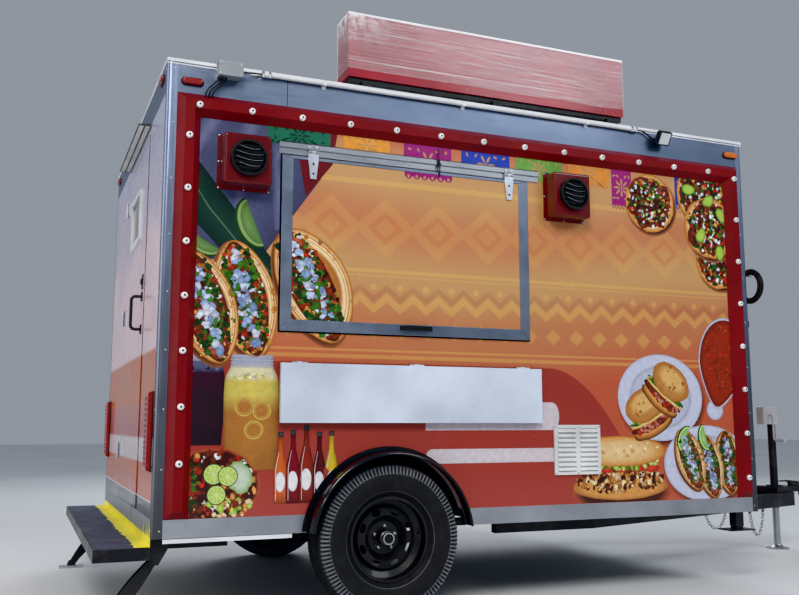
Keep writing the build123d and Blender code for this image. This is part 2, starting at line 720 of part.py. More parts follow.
def bulb_places():
    """X and Z of each bulb: along the top ridge, then down both uprights."""
    ridge = TRIM_WIDTH / 2
    places = []
    for index in range(TOP_BULBS):
        places.append((REAR + TOP_BULB_FIRST + index * TOP_BULB_PITCH, FASCIA_BOTTOM - TOP_BULB_BELOW))
    for index in range(REAR_BULBS):
        places.append((REAR + POST + ridge, FASCIA_BOTTOM - REAR_BULB_BELOW - index * REAR_BULB_PITCH))
    for index in range(FRONT_BULBS):
        places.append((FRONT - POST - ridge, FASCIA_BOTTOM - FRONT_BULB_BELOW - index * FRONT_BULB_PITCH))
    return places


def trim_bulbs():
    """Small round lamps with a collar and a domed lens, on the trim's ridge."""
    rise = BULB_HEIGHT - BULB_COLLAR
    ball = (BULB_RADIUS ** 2 + rise ** 2) / (2 * rise)
    body = Cylinder(BULB_RADIUS, BULB_HEIGHT, align=FROM_BASE)
    bulb = Rot(90, 0, 0) * (body & Pos(0, 0, BULB_HEIGHT - ball) * Sphere(ball))
    face = NEAR_FACE - TRIM_HEIGHT - SEAT_GAP
    return Compound(children=[Pos(x, face, z) * bulb for x, z in bulb_places()])


# Hinges

def hinge(plane, length, pin_radius, knuckle_radius, fixed, moving):
    """Two halves of a three-knuckle hinge about the plane's own Z axis.

    Each leaf is (direction along Y, reach, distance of its far face along X, thickness),
    and may end with the width of a tapered tip.
    The fixed half holds the pin and the outer knuckles.
    """
    third = length / 3
    gap = 0.6
    clear = knuckle_radius + 1

    def knuckle(z0, z1, radius=knuckle_radius):
        return Pos(0, 0, z0) * Cylinder(radius, z1 - z0, align=FROM_BASE)

    def leaf(direction, reach, standoff, thick, tip=length):
        far = direction * reach
        shoulder = 0.3 * far if tip < length else far
        half = length / 2
        outline = [(0, -half), (shoulder, -half), (shoulder, half), (0, half)]
        if tip < length:
            outline[2:2] = [(far, -tip / 2), (far, tip / 2)]
        return cross_profile(polygon(*outline), standoff - thick, standoff)

    fixed_half = leaf(*fixed) - knuckle(-third / 2 - gap, third / 2 + gap, clear)
    fixed_half += knuckle(-length / 2, -third / 2 - gap)
    fixed_half += knuckle(third / 2 + gap, length / 2)
    fixed_half += knuckle(-length / 2, length / 2, pin_radius)
    moving_half = leaf(*moving)
    moving_half -= knuckle(third / 2, length, clear)
    moving_half -= knuckle(-length, -third / 2, clear)
    moving_half += knuckle(-third / 2, third / 2)
    moving_half -= knuckle(-length, length, pin_radius + HUB_CLEARANCE)
    return plane * fixed_half, plane * moving_half


# Serving hatch

def hatch_box(inset, top_inset, y0, y1):
    """A block as large as the hatch, drawn in by `inset` at the sides and foot."""
    return block(REAR + HATCH_REAR + inset, REAR + HATCH_REAR + HATCH_LENGTH - inset, y0, y1,
                 HATCH_BOTTOM + inset, HATCH_BOTTOM + HATCH_HEIGHT - top_inset)


def hatch_frame():
    """The steel edge frame of the hatch, standing a little proud of the wall."""
    back = HATCH_FRONT + HATCH_THICK
    frame = hatch_box(0, 0, HATCH_FRONT, back)
    return frame - hatch_box(HATCH_STILE, HATCH_TOP_STILE, HATCH_FRONT - 1, back + 1)


def hatch_panel():
    """The printed panel that the hatch's frame holds."""
    return hatch_box(HATCH_STILE, HATCH_TOP_STILE, HATCH_FRONT + PANEL_RECESS, HATCH_FRONT + HATCH_THICK)


def hatch_handle():
    """A bow handle with rounded ends, screwed to the bottom stile."""
    x = REAR + HATCH_REAR + HANDLE_ALONG
    z = HATCH_BOTTOM + HANDLE_ABOVE
    outline = polygon((-92, 0), (-58, 0), (-50, -18), (50, -18), (58, 0), (92, 0), (70, -32), (-70, -32))
    bow = extrude(outline, amount=22)
    bow = fillet(bow.edges().filter_by(Axis.Z).group_by(Axis.Y)[0], 10)
    return Pos(x, HATCH_FRONT, z - 11) * bow


def hatch_hinges():
    halves = []
    for along in HATCH_HINGES:
        at = (REAR + HATCH_REAR + along, HATCH_HINGE_Y, HATCH_HINGE_Z)
        plane = Plane(origin=at, x_dir=(0, 1, 0), z_dir=(1, 0, 0))
        halves.append(hinge(plane, HATCH_HINGE_LENGTH, 3.5, 8,
                            fixed=(1, HEADER_ABOVE - 2, 2, 4), moving=(-1, HATCH_STRAP, 2, 4, STRAP_TIP)))
    return halves


def hatch_header():
    """A drip rail over the hatch that carries the hinges, with a thin skirt down to the opening."""
    x0 = REAR + HATCH_REAR - HEADER_REAR_REACH
    x1 = REAR + HATCH_REAR + HATCH_LENGTH + HEADER_FRONT_REACH
    z0 = HATCH_BOTTOM + HATCH_HEIGHT + HEADER_ABOVE
    skirt = HEADER_SKIRT_THICK
    rail = polygon((0, -HEADER_SKIRT), (-skirt, -HEADER_SKIRT), (-skirt, 0), (-HATCH_PROUD, 0),
                   (-HATCH_PROUD, HEADER_HEIGHT), (0, HEADER_HEIGHT + 10))
    return Pos(0, NEAR_FACE, z0) * cross_profile(rail, x0, x1)


# Serving shelf

def serving_shelf():
    """A folded sheet shelf that hangs down the wall, open on its back."""
    x0 = REAR + SHELF_REAR
    x1 = x0 + SHELF_LENGTH
    inner = NEAR_FACE - SHELF_STANDOFF
    outer = inner - SHELF_THICK
    low = SHELF_TOP - SHELF_DROP
    tray = block(x0, x1, outer, inner, low, SHELF_TOP)
    sheet = SHELF_SHEET
    tray -= block(x0 + sheet, x1 - sheet, outer + sheet, inner + 1, low + sheet, SHELF_TOP - sheet)
    for along in SHELF_HINGES:
        x = x0 + along
        tray += block(x - 30, x + 30, outer + sheet, inner, SHELF_TOP - 90, SHELF_TOP - sheet)
    return tray


def shelf_hinges():
    halves = []
    leaf = SHELF_HINGE_Y - (NEAR_FACE - SHELF_STANDOFF)
    for along in SHELF_HINGES:
        at = (REAR + SHELF_REAR + along, SHELF_HINGE_Y, SHELF_HINGE_Z)
        plane = Plane(origin=at, x_dir=(0, 1, 0), z_dir=(1, 0, 0))
        halves.append(hinge(plane, SHELF_HINGE_LENGTH, 3, 7,
                            fixed=(-1, 60, SHELF_STANDOFF / 2, 2.5), moving=(-1, 75, 2.5 - leaf, 2.5)))
    return halves


# Rear door

def door_leaf():
    """The rear door with its window cut."""
    back = DOOR_FRONT + DOOR_THICK
    leaf = block(DOOR_FRONT, back, DOOR_NEAR_Y, DOOR_FAR_Y, DOOR_BOTTOM, DOOR_TOP)
    half_w = DOOR_WINDOW_WIDTH / 2 - WINDOW_LAP
    half_h = DOOR_WINDOW_HEIGHT / 2 - WINDOW_LAP
    hole = block(DOOR_FRONT - 1, back + 1, DOOR_WINDOW_Y - half_w, DOOR_WINDOW_Y + half_w,
                 DOOR_WINDOW_Z - half_h, DOOR_WINDOW_Z + half_h)
    return leaf - hole


def door_window_frame():
    """A white rounded frame over the window hole, with a lip that holds the glass."""
    outer = RectangleRounded(DOOR_WINDOW_WIDTH, DOOR_WINDOW_HEIGHT, 30)
    inner = RectangleRounded(DOOR_WINDOW_WIDTH - 2 * WINDOW_FRAME, DOOR_WINDOW_HEIGHT - 2 * WINDOW_FRAME, 18)
    ring = extrude(Plane.YZ * (outer - inner), amount=-10)
    return Pos(DOOR_FRONT, DOOR_WINDOW_Y, DOOR_WINDOW_Z) * ring


def door_glass():
    half_w = DOOR_WINDOW_WIDTH / 2 - WINDOW_LAP - SEAT_GAP
    half_h = DOOR_WINDOW_HEIGHT / 2 - WINDOW_LAP - SEAT_GAP
    return block(DOOR_FRONT, DOOR_FRONT + GLASS_THICK, DOOR_WINDOW_Y - half_w, DOOR_WINDOW_Y + half_w,
                 DOOR_WINDOW_Z - half_h, DOOR_WINDOW_Z + half_h)


def door_handle():
    """A D-shaped pull on two feet near the door's free edge."""
    x = DOOR_FRONT
    y = DOOR_NEAR_Y + 45
    low = PULL_LOW
    high = PULL_LOW + PULL_LENGTH
    points = [(x, y, low), (x - PULL_REACH, y, low), (x - PULL_REACH, y, high), (x, y, high)]
    grip = tube_along(points, PULL_RADIUS, [22, 22])
    for z in (low, high):
        grip += block(x - 6, x, y - 18, y + 18, z - 24, z + 24)
    return grip


def door_hinges():
    halves = []
    stand = REAR - DOOR_HINGE_X
    heights = [DOOR_BOTTOM + above for above in DOOR_HINGES]
    heights.append(DOOR_TOP - DOOR_TOP_HINGE)
    for z in heights:
        at = (DOOR_HINGE_X, DOOR_HINGE_Y, z)
        plane = Plane(origin=at, x_dir=(1, 0, 0), z_dir=(0, 0, 1))
        halves.append(hinge(plane, DOOR_HINGE_LENGTH, 4, 7,
                            fixed=(1, 34, stand, 6.5), moving=(-1, 60, stand - DOOR_PROUD, 3.5)))
    return halves


def canopy():
    """A shallow rain hood over the door: a sheet on a frame of two long bars and two ends."""
    low = DOOR_TOP + CANOPY_ABOVE
    lip = REAR - CANOPY_REACH
    y0 = DOOR_NEAR_Y - 37
    y1 = DOOR_FAR_Y + 40
    sheet = polygon((REAR, low + CANOPY_RIB), (REAR, low + CANOPY_RIB + CANOPY_SHEET),
                    (lip, low + CANOPY_SHEET + 3), (lip, low), (lip + 5, low), (lip + 5, low + 3))
    hood = side_profile(sheet, y0, y1)
    end = polygon((REAR, low), (REAR, low + CANOPY_RIB), (lip + 5, low + 3), (lip + 5, low))
    for y in (y0, y1 - 6):
        hood += side_profile(end, y, y + 6)
    for bay in range(1, CANOPY_BAYS):
        x = REAR - CANOPY_REACH * bay / CANOPY_BAYS
        bar = polygon((x - 4, low), (x + 4, low), (x + 4, low + 8.5), (x - 4, low + 7.2))
        hood += side_profile(bar, y0, y1)
    hood += block(REAR - 6, REAR, y0, y1, low, low + CANOPY_RIB)
    return hood


# Rear deck

def rear_deck():
    """A tread-plate step the full width of the body, with folded edges."""
    x0 = REAR - DECK_DEPTH
    x1 = REAR - 2
    half = HALF_WIDTH - 4
    deck = block(x0, x1, -half, half, DECK_TOP - DECK_APRON, DECK_TOP)
    deck -= block(x0 + DECK_SHEET, x1 + 1, -half + DECK_SHEET, half - DECK_SHEET,
                  DECK_TOP - DECK_APRON - 1, DECK_TOP - DECK_SHEET)
    return deck


def deck_arms():
    """Two box arms under the main rails that carry the deck."""
    half = DECK_ARM_WIDTH / 2
    low = MAIN_RAIL_BOTTOM - DECK_ARM_WIDTH - 1
    arm = block(REAR - DECK_DEPTH + DECK_SHEET, REAR + DECK_ARM_LENGTH,
                -MAIN_RAIL_Y - half, -MAIN_RAIL_Y + half, low, MAIN_RAIL_BOTTOM)
    return both_sides(arm)


# Tongue end

def coupler():
    """A hollow A-frame coupler: splayed channel, neck and ball socket."""
    back = FRONT + TONGUE_REACH - 210
    nose = COUPLER_NOSE
    outline = Polyline((back, -128), (back, 128), (back + 200, 62), (nose - 70, 46))
    outline += Line((nose - 70, 46), (nose, 46))
    outline += ThreePointArc((nose, 46), (nose + 46, 0), (nose, -46))
    outline += Polyline((nose, -46), (nose - 70, -46), (back + 200, -62), (back, -128))
    low = COUPLER_LOW
    body = extrude(make_face(outline), amount=COUPLER_HEIGHT)
    body = Pos(0, 0, low) * body
    body -= Pos(nose, 0, BALL_Z) * Sphere(COUPLER_BALL + 0.8)
    body -= rod((0, 0, low - 1), (0, 0, low + 50), JACK_TUBE + SEAT_GAP)
    skirt = Pos(nose, 0, low - 34) * Cylinder(44, 34, align=FROM_BASE)
    skirt -= Pos(nose, 0, low - 35) * Cylinder(COUPLER_BALL + 0.8, 40, align=FROM_BASE)
    return body + skirt


def coupler_latch():
    """A lever over the coupler's neck."""
    top = COUPLER_TOP
    face = polygon((150, top), (235, top), (240, top + 26), (225, top + 34), (120, top + 44), (60, top + 40),
                   (60, top + 32), (118, top + 34), (150, top + 22))
    lever = side_profile(face, -16, 16)
    return fillet(lever.edges().filter_by(Axis.Y).group_by(Axis.Z)[-1], 3)


def tongue_jack():
    """The jack's outer tube with its round mounting flange on the coupler."""
    plate_z = COUPLER_TOP
    tube = rod((0, 0, TONGUE_BOTTOM - 20), (0, 0, JACK_TOP), JACK_TUBE)
    tube -= rod((0, 0, TONGUE_BOTTOM - 21), (0, 0, 700), JACK_TUBE - JACK_WALL)
    flange = Pos(0, 0, plate_z + SEAT_GAP) * Cylinder(60, 8, align=FROM_BASE)
    flange -= rod((0, 0, plate_z - 5), (0, 0, plate_z + 20), JACK_TUBE - JACK_WALL)
    return tube + flange


def jack_head():
    """A silver gear housing on top of the jack, offset over its drive."""
    body = block(-112, 45, -45, 45, JACK_TOP + SEAT_GAP, JACK_TOP + 140)
    body = fillet(body.edges().filter_by(Axis.Z), 22)
    return fillet(body.edges().group_by(Axis.Z)[-1], 14)


def jack_leg():
    """The inner tube and its round foot."""
    tube = rod((0, 0, 8), (0, 0, 640), JACK_TUBE - JACK_WALL - SEAT_GAP)
    foot = Line((0, 0), (JACK_FOOT, 0)) + Line((JACK_FOOT, 0), (JACK_FOOT, 5))
    foot += ThreePointArc((JACK_FOOT, 5), (45, 14), (27, 34))
    foot += Polyline((27, 34), (0, 34), (0, 0))
    return tube + revolve(Plane.XZ * make_face(foot), Axis.Z)


def jack_crank():
    """A cranked rod with a grip, hanging beside the head."""
    z = JACK_TOP + 70
    y = -44
    x = -60
    low = z - 190
    crank = tube_along([(x, y, z), (x, y - 40, z), (x, y - 40, low), (x, y - 130, low)], 7, [18, 18])
    grip = rod((x, y - 60, low), (x, y - 150, low), 14)
    return crank + grip


# Safety chains

def under_beam(part):
    """A part drawn along X about the eyes' height, put under both tongue beams."""
    back = CHAIN_REACH + TONGUE_BEND_BEHIND
    run = TONGUE_REACH + TONGUE_BEND_BEHIND
    across = TONGUE_Y - TONGUE_NOSE_Y
    y = TONGUE_Y - across * back / run
    turn = -degrees(atan2(across, run))
    far = Pos(FRONT + CHAIN_REACH, y, TONGUE_BOTTOM - CHAIN_EYE_DROP) * Rot(0, 0, turn) * part
    return joined(far, mirror(far, Plane.XZ))


def chain_eyes():
    """Two welded tabs under each beam, with holes for the chain's end links."""
    tab = Circle(CHAIN_EYE_EDGE)
    tab += Pos(0, CHAIN_EYE_DROP / 2) * Rectangle(2 * CHAIN_EYE_EDGE, CHAIN_EYE_DROP)
    tab -= Circle(CHAIN_EYE_HOLE)
    half = CHAIN_EYE_THICK / 2
    eye = side_profile(tab, -half, half)
    return under_beam(joined(*(Pos(end * CHAIN_SPAN / 2, 0, 0) * eye for end in (-1, 1))))


def chain_pins():
    """Where the links of a hanging chain meet: even steps along a catenary."""
    length = LINK_COUNT * LINK_PITCH
    half = CHAIN_SPAN / 2
    low = half / 12
    high = half * 50
    for _ in range(60):
        flatness = (low + high) / 2
        if 2 * flatness * sinh(half / flatness) > length:
            low = flatness
        else:
            high = flatness
    hung = CHAIN_EYE_HOLE + (LINK_INSIDE - LINK_PITCH) / 2 - EYE_SLACK
    top = flatness * cosh(half / flatness) + hung
    steps = [length * (pin / LINK_COUNT - 0.5) for pin in range(LINK_COUNT + 1)]
    spots = [flatness * asinh(step / flatness) for step in steps]
    return [(x, flatness * cosh(x / flatness) - top) for x in spots]


def safety_chains():
    """A hanging chain under each beam, every other link turned a quarter, end links across the eyes."""
    outer = SlotOverall(LINK_INSIDE + 2 * LINK_WIRE, LINK_OPENING + 2 * LINK_WIRE)
    link = extrude(outer - SlotOverall(LINK_INSIDE, LINK_OPENING), amount=LINK_WIRE / 2, both=True)
    pins = chain_pins()
    links = []
    for index, ((x0, z0), (x1, z1)) in enumerate(zip(pins, pins[1:])):
        tilt = -degrees(atan2(z1 - z0, x1 - x0))
        roll = 90 if index % 2 else 0
        links.append(Pos((x0 + x1) / 2, 0, (z0 + z1) / 2) * Rot(0, tilt, 0) * Rot(roll, 0, 0) * link)
    return under_beam(joined(*links))


# Stabilisers

def rear_stabilisers():
    """Splayed legs at the rear corners: two leaf-shaped cheeks, a foot and a thin brace."""
    top = (REAR + LEG_TOP_AHEAD, LEG_TOP_Z)
    foot = (REAR - LEG_FOOT_BACK, LEG_FOOT_Z)
    y0 = -LEG_Y - LEG_WIDTH / 2
    y1 = -LEG_Y + LEG_WIDTH / 2
    length = sqrt((top[0] - foot[0]) ** 2 + (top[1] - foot[1]) ** 2)
    along = degrees(atan2(top[1] - foot[1], top[0] - foot[0]))
    lie = Pos(*foot) * Rot(0, 0, along)
    leaf = Polyline((-12, -9), (-12, 9))
    leaf += ThreePointArc((-12, 9), (length * 0.55, LEG_BAR), (length + 15, 13))
    leaf += Line((length + 15, 13), (length + 15, -13))
    leaf += ThreePointArc((length + 15, -13), (length * 0.55, -LEG_BAR), (-12, -9))
    cheek = lie * make_face(leaf)
    web = lie * Pos(length / 2, 0) * Rectangle(length - 20, 12)
    leg = side_profile(cheek, y0, y0 + 5) + side_profile(cheek, y1 - 5, y1) + side_profile(web, y0, y1)
    bracket = polygon((REAR + 2, SKIRT_BOTTOM), (REAR + 94, SKIRT_BOTTOM), (REAR + 86, 372), (REAR + 46, 302),
                      (REAR + 6, 302))
    leg += side_profile(bracket, y0 - 6, y0) + side_profile(bracket, y1, y1 + 6)
    leg += rod((top[0], y0 - 10, top[1]), (top[0], y1 + 10, top[1]), 8)
    leg += block(foot[0] - 75, foot[0] + 75, y0 - 35, y1 + 35, 0, 6)
    ears = polygon((foot[0] - 30, 6), (foot[0] + 30, 6), (foot[0] + 14, 40), (foot[0] - 14, 40))
    leg += side_profile(ears, y0 - 6, y0) + side_profile(ears, y1, y1 + 6)
    brace = polygon((foot[0] + 10, 20), (foot[0] + 22, 20), (REAR + 78, 392), (REAR + 66, 392))
    leg += side_profile(brace, y1 + 6, y1 + 11)
    return both_sides(leg)


def front_stabilisers():
    """Drop legs drawn up under the front corners."""
    x = FRONT - DROP_LEG_BACK
    y = -DROP_LEG_Y
    half = DROP_LEG_WIDTH / 2
    foot = DROP_LEG_FOOT_Z
    leg = block(x - half, x + half, y - half, y + half, foot + 24, CROSSMEMBER_BOTTOM)
    leg = fillet(leg.edges().filter_by(Axis.Z), 6)
    leg += block(x - half + 5, x + half - 5, y - half + 5, y + half - 5, foot + 7, foot + 29)
    leg += block(x - 90, x + 90, y - 60, y + 60, foot, foot + 7)
    return both_sides(leg)


# Lamps and fittings

def tail_lamps():
    """Tall red lamps on the rear wall, one each side of the door."""
    half = TAIL_LAMP_WIDTH / 2
    lamp = block(REAR - TAIL_LAMP_DEPTH, REAR, -TAIL_LAMP_Y - half, -TAIL_LAMP_Y + half,
                 TAIL_LAMP_LOW, TAIL_LAMP_LOW + TAIL_LAMP_HEIGHT)
    outer = lamp.edges().group_by(Axis.X)[0]
    return both_sides(fillet(outer, 12))


def oval_lamp():
    """A domed oval lamp about the origin, facing +Z, long along X."""
    body = extrude(SlotOverall(LAMP_LENGTH, LAMP_HEIGHT), amount=LAMP_DEPTH)
    return fillet(body.edges().group_by(Axis.Z)[-1], LAMP_DEPTH * 0.45)


def side_lamp(x, above):
    """An oval lamp on the fascia of each long side."""
    at = (x, NEAR_FACE, FASCIA_BOTTOM + above)
    face = Plane(origin=at, x_dir=(1, 0, 0), z_dir=(0, -1, 0))
    return both_sides(face * oval_lamp())


def red_markers():
    y, above = REAR_MARKER
    face = Plane(origin=(REAR, -y, FASCIA_BOTTOM + above), x_dir=(0, 1, 0), z_dir=(-1, 0, 0))
    ahead, side_above = RED_MARKER
    return side_lamp(REAR + ahead, side_above) + both_sides(face * oval_lamp())


def amber_markers():
    behind, above = AMBER_MARKER
    return side_lamp(FRONT - behind, above)


def vent_hoods():
    """Red pressed hoods: a flange on the wall and a box with soft edges."""
    hoods = Part()
    half_w = HOOD_WIDTH / 2
    half_h = HOOD_HEIGHT / 2
    edge = HOOD_FLANGE
    hood = block(-half_w, half_w, -HOOD_DEPTH, 0, -half_h, half_h)
    hood = fillet(hood.edges().group_by(Axis.Y)[0] + hood.edges().filter_by(Axis.Y), 14)
    hood += block(-half_w - edge, half_w + edge, -3, 0, -half_h - edge, half_h + edge)
    for ahead, below in HOODS:
        hoods += Pos(REAR + ahead, NEAR_FACE, FASCIA_BOTTOM - below) * hood
    return hoods


def vent_caps():
    """Black round caps with thin louvres across the mouth."""
    caps = Part()
    ring = extrude(Circle(CAP_RADIUS) - Circle(CAP_RADIUS - CAP_RING), amount=26)
    ring += extrude(Circle(CAP_RADIUS), amount=6)
    blade = Rot(35, 0, 0) * Box(2 * CAP_RADIUS - 12, 26, 2.5)
    for index in range(CAP_BLADES):
        strip = Pos(0, (index - (CAP_BLADES - 1) / 2) * 27, 14) * blade
        ring += strip & Pos(0, 0, 13) * Cylinder(CAP_RADIUS - 5, 26)
    for ahead, below in HOODS:
        at = (REAR + ahead, NEAR_FACE - HOOD_DEPTH - SEAT_GAP, FASCIA_BOTTOM - below)
        face = Plane(origin=at, x_dir=(1, 0, 0), z_dir=(0, -1, 0))
        caps += face * ring
    return caps


def louvre_vent():
    """A cream vent plate with two columns of slanted slats."""
    height = LOUVRE_HEIGHT
    plate = extrude(RectangleRounded(LOUVRE_WIDTH, height, 4), amount=10)
    slat = extrude(Plane.YZ * polygon((-9, 10), (9, 10), (-7, 22), (-9, 22)), amount=112)
    pitch = (height - 2 * LOUVRE_BORDER) / LOUVRE_ROWS
    for column in (-127, 15):
        plate -= Pos(column + 56, 0, 9) * Box(112, height - 2 * LOUVRE_BORDER, 8)
        for row in range(LOUVRE_ROWS):
            z = -height / 2 + LOUVRE_BORDER + (row + 0.5) * pitch
            plate += Pos(column, z, -5) * slat
    at = (REAR + LOUVRE_AHEAD, NEAR_FACE, SKIRT_TOP + LOUVRE_ABOVE)
    face = Plane(origin=at, x_dir=(1, 0, 0), z_dir=(0, -1, 0))
    return face * plate


def junction_box():
    """A grey box on the fascia, with a lid that overlaps a little."""
    x0 = REAR + BOX_REAR
    x1 = x0 + BOX_LENGTH
    z0 = FASCIA_BOTTOM + BOX_ABOVE
    z1 = z0 + BOX_HEIGHT
    front = NEAR_FACE - BOX_DEPTH
    box = block(x0, x1, front, NEAR_FACE, z0, z1)
    box += block(x0 - 3, x1 + 3, front - 6, front + 2, z0 - 3, z1 + 3)
    return fillet(box.edges().filter_by(Axis.Y), 3)


def conduit():
    """A steel conduit along the fascia with end couplings and saddles."""
    x0 = REAR + CONDUIT_REAR
    x1 = REAR + CONDUIT_FRONT
    pipe = rod((x0, CONDUIT_Y, CONDUIT_Z), (x1, CONDUIT_Y, CONDUIT_Z), CONDUIT_RADIUS)
    for x in (x0, x1 - COUPLING_LENGTH):
        end = x + COUPLING_LENGTH
        pipe += rod((x, CONDUIT_Y, CONDUIT_Z), (end, CONDUIT_Y, CONDUIT_Z), CONDUIT_RADIUS + 3)
    for along in SADDLES:
        x = x0 + along
        pipe += block(x - 11, x + 11, CONDUIT_Y - CONDUIT_RADIUS - 2, NEAR_FACE,
                      CONDUIT_Z - 13, CONDUIT_Z + 13)
        pipe += block(x - 11, x + 11, NEAR_FACE - 3, NEAR_FACE, CONDUIT_Z - 28, CONDUIT_Z)
    return pipe


def flood_lamp():
    """A square lamp in a stirrup, tilted down over the serving side."""
    x = REAR + FLOOD_AHEAD
    z = FASCIA_BOTTOM + FLOOD_ABOVE
    half = FLOOD_HALF
    body = block(-half, half, -14, 14, -half, half)
    body = fillet(body.edges().filter_by(Axis.Y), 8)
    body += block(8 - half, half - 8, 12, 26, 8 - half, half - 8)
    lamp = Pos(x, NEAR_FACE - 58, z) * Rot(32, 0, 0) * body
    foot = block(x - 18, x + 18, NEAR_FACE - 4, NEAR_FACE, z - 20, z + 20)
    arm = block(x - 9, x + 9, NEAR_FACE - 48, NEAR_FACE, z - 5, z + 5)
    return lamp + foot + arm


def sign_box():
    """A blank sign box on the roof's serving edge."""
    x0 = REAR + SIGN_REAR
    y0 = NEAR_FACE + SIGN_BACK
    box = block(x0, x0 + SIGN_LENGTH, y0, y0 + SIGN_DEPTH, SIGN_BOTTOM, SIGN_BOTTOM + SIGN_HEIGHT)
    return fillet(box.edges().filter_by(Axis.Y), 10)


def sign_base():
    """A black plinth under the sign, with feet down to the roof's edge rail."""
    inset = BASE_INSET
    x0 = REAR + SIGN_REAR + inset
    y0 = NEAR_FACE + SIGN_BACK + inset
    low = SIGN_BOTTOM - BASE_HEIGHT
    base = block(x0, x0 + SIGN_LENGTH - 2 * inset, y0, y0 + SIGN_DEPTH - 2 * inset,
                 low, SIGN_BOTTOM - SEAT_GAP)
    for along in SIGN_FEET:
        x = x0 + along
        base += block(x, x + 60, NEAR_FACE + 6, NEAR_FACE + 44, BODY_TOP + SEAT_GAP, low + 3)
    return base


def fixed_cables():
    """Short cables held at both ends along the fascia."""
    cables = []
    for route in FIXED_CABLES:
        points = [(REAR + x, NEAR_FACE + y, FASCIA_BOTTOM + z) for x, y, z in route]
        cables.append(tube_along(points, CABLE_RADIUS, bend_radii(points)))
    return Compound(children=cables)


# Supply cord on the front wall

def coil_hook():
    """A steel peg with an upturned end that the coil hangs from."""
    z = COIL_Z + COIL_MEAN - COIL_SECTION - HOOK_RADIUS - SEAT_GAP
    tip = FRONT + 104
    points = [(FRONT, COIL_Y, z), (tip, COIL_Y, z), (tip, COIL_Y, z + 36)]
    hook = tube_along(points, HOOK_RADIUS, [12])
    return hook + block(FRONT, FRONT + 4, COIL_Y - 18, COIL_Y + 18, z - 40, z + 24)


def cord_coil():
    """The outer shape of the hanging coil."""
    ring = Plane.YZ * Torus(COIL_MEAN, COIL_SECTION)
    return Pos(COIL_X, COIL_Y, COIL_Z) * ring


def cord_gland():
    """The cable gland in the front wall, below the hook."""
    gland = rod((FRONT, GLAND_Y, GLAND_Z), (FRONT + 8, GLAND_Y, GLAND_Z), 16)
    gland += rod((FRONT + 8, GLAND_Y, GLAND_Z), (FRONT + GLAND_REACH, GLAND_Y, GLAND_Z), 11)
    return gland


def cord_lead():
    """The cord from the gland up to its coil, and from the coil down to its plug."""
    leads = []
    for route in (CORD_ROUTE, TAIL_ROUTE):
        radii = bend_radii(route)
        print("cord bend radii, mm:", [round(r) for r in radii])
        leads.append(tube_along(route, CORD_RADIUS, radii))
    return Compound(children=leads)


def cord_plug():
    """A moulded round plug with two blades and an earth pin, hanging down."""
    x, y, top = TAIL_ROUTE[-1]
    body = Line((0, 0), (11, 0)) + ThreePointArc((11, 0), (15, -14), (19, -30))
    body += Polyline((19, -30), (19, -58), (0, -58), (0, 0))
    plug = revolve(Plane.XZ * make_face(body), Axis.Z)
    for blade in (-7, 7):
        plug += block(blade - 1, blade + 1, -4, 4, -76, -58)
    plug += rod((0, 10, -58), (0, 10, -78), 2.5)
    return Pos(x, y, top) * plug


def save_all():
    os.makedirs("parts", exist_ok=True)
    for name, part in nodes.items():
        export_step(part, f"parts/{name}.step")


fixed_hatch, moving_hatch = zip(*hatch_hinges())
fixed_shelf, moving_shelf = zip(*shelf_hinges())
fixed_door, moving_door = zip(*door_hinges())

nodes["corner_posts"] = corner_posts()
nodes["body_rails"] = joined(skirt_rails(), rail_ring(FASCIA_BOTTOM, BODY_TOP))
nodes["serving_wall"] = serving_wall()
nodes["offside_wall"] = mirror(side_wall(), Plane.XZ)
nodes["front_wall"] = front_wall()
nodes["rear_wall"] = rear_wall()
nodes["floor_sheet"] = floor_sheet()
nodes["roof_panel"] = roof_panel()
nodes["wheel_wells"] = wheel_wells()
nodes["floor_frame"] = crossmembers()
nodes["main_rails"] = main_rails() + deck_arms() + spring_hangers()
nodes["tongue_beams"] = tongue_beams() + chain_eyes()
nodes["axle"] = joined(axle(), u_bolts())
nodes["leaf_springs"] = leaf_springs()
for side_name, side in (("near", -1), ("far", 1)):
    nodes[f"tyre_{side_name}"] = tyre(side)
    nodes[f"rim_{side_name}"] = rim(side)
    nodes[f"hub_{side_name}"] = hub(side)
nodes["fenders"] = fenders()
nodes["serving_trim"] = serving_trim()
nodes["trim_bulbs"] = trim_bulbs()
nodes["hatch_frame"] = hatch_frame()
nodes["hatch_panel"] = hatch_panel()
nodes["hatch_handle"] = hatch_handle()
nodes["hatch_straps"] = joined(*moving_hatch)
nodes["hatch_header"] = hatch_header() + list(fixed_hatch)
nodes["serving_shelf"] = serving_shelf() + list(moving_shelf)
nodes["wall_hinges"] = joined(*fixed_shelf, *fixed_door)
nodes["door_leaf"] = door_leaf()
nodes["door_window_frame"] = door_window_frame()
nodes["door_glass"] = door_glass()
nodes["door_handle"] = door_handle()
nodes["door_hinge_leaves"] = joined(*moving_door)
nodes["door_canopy"] = canopy()
nodes["rear_deck"] = rear_deck()
nodes["coupler"] = coupler() + coupler_latch()
nodes["tongue_jack"] = tongue_jack()
nodes["jack_head"] = jack_head() + jack_crank()
nodes["jack_leg"] = jack_leg()
nodes["safety_chains"] = safety_chains()
nodes["stabilisers"] = joined(rear_stabilisers(), front_stabilisers())
nodes["red_lamps"] = joined(tail_lamps(), red_markers())
nodes["amber_lamps"] = amber_markers()
nodes["vent_hoods"] = vent_hoods()
nodes["vent_caps"] = vent_caps()
nodes["louvre_vent"] = louvre_vent()
nodes["fascia_conduit"] = joined(junction_box(), conduit())
nodes["flood_lamp"] = flood_lamp()
nodes["sign_box"] = sign_box()
nodes["sign_base"] = sign_base()
nodes["fixed_cables"] = fixed_cables()
nodes["coil_hook"] = coil_hook()
nodes["cord_gland"] = cord_gland()
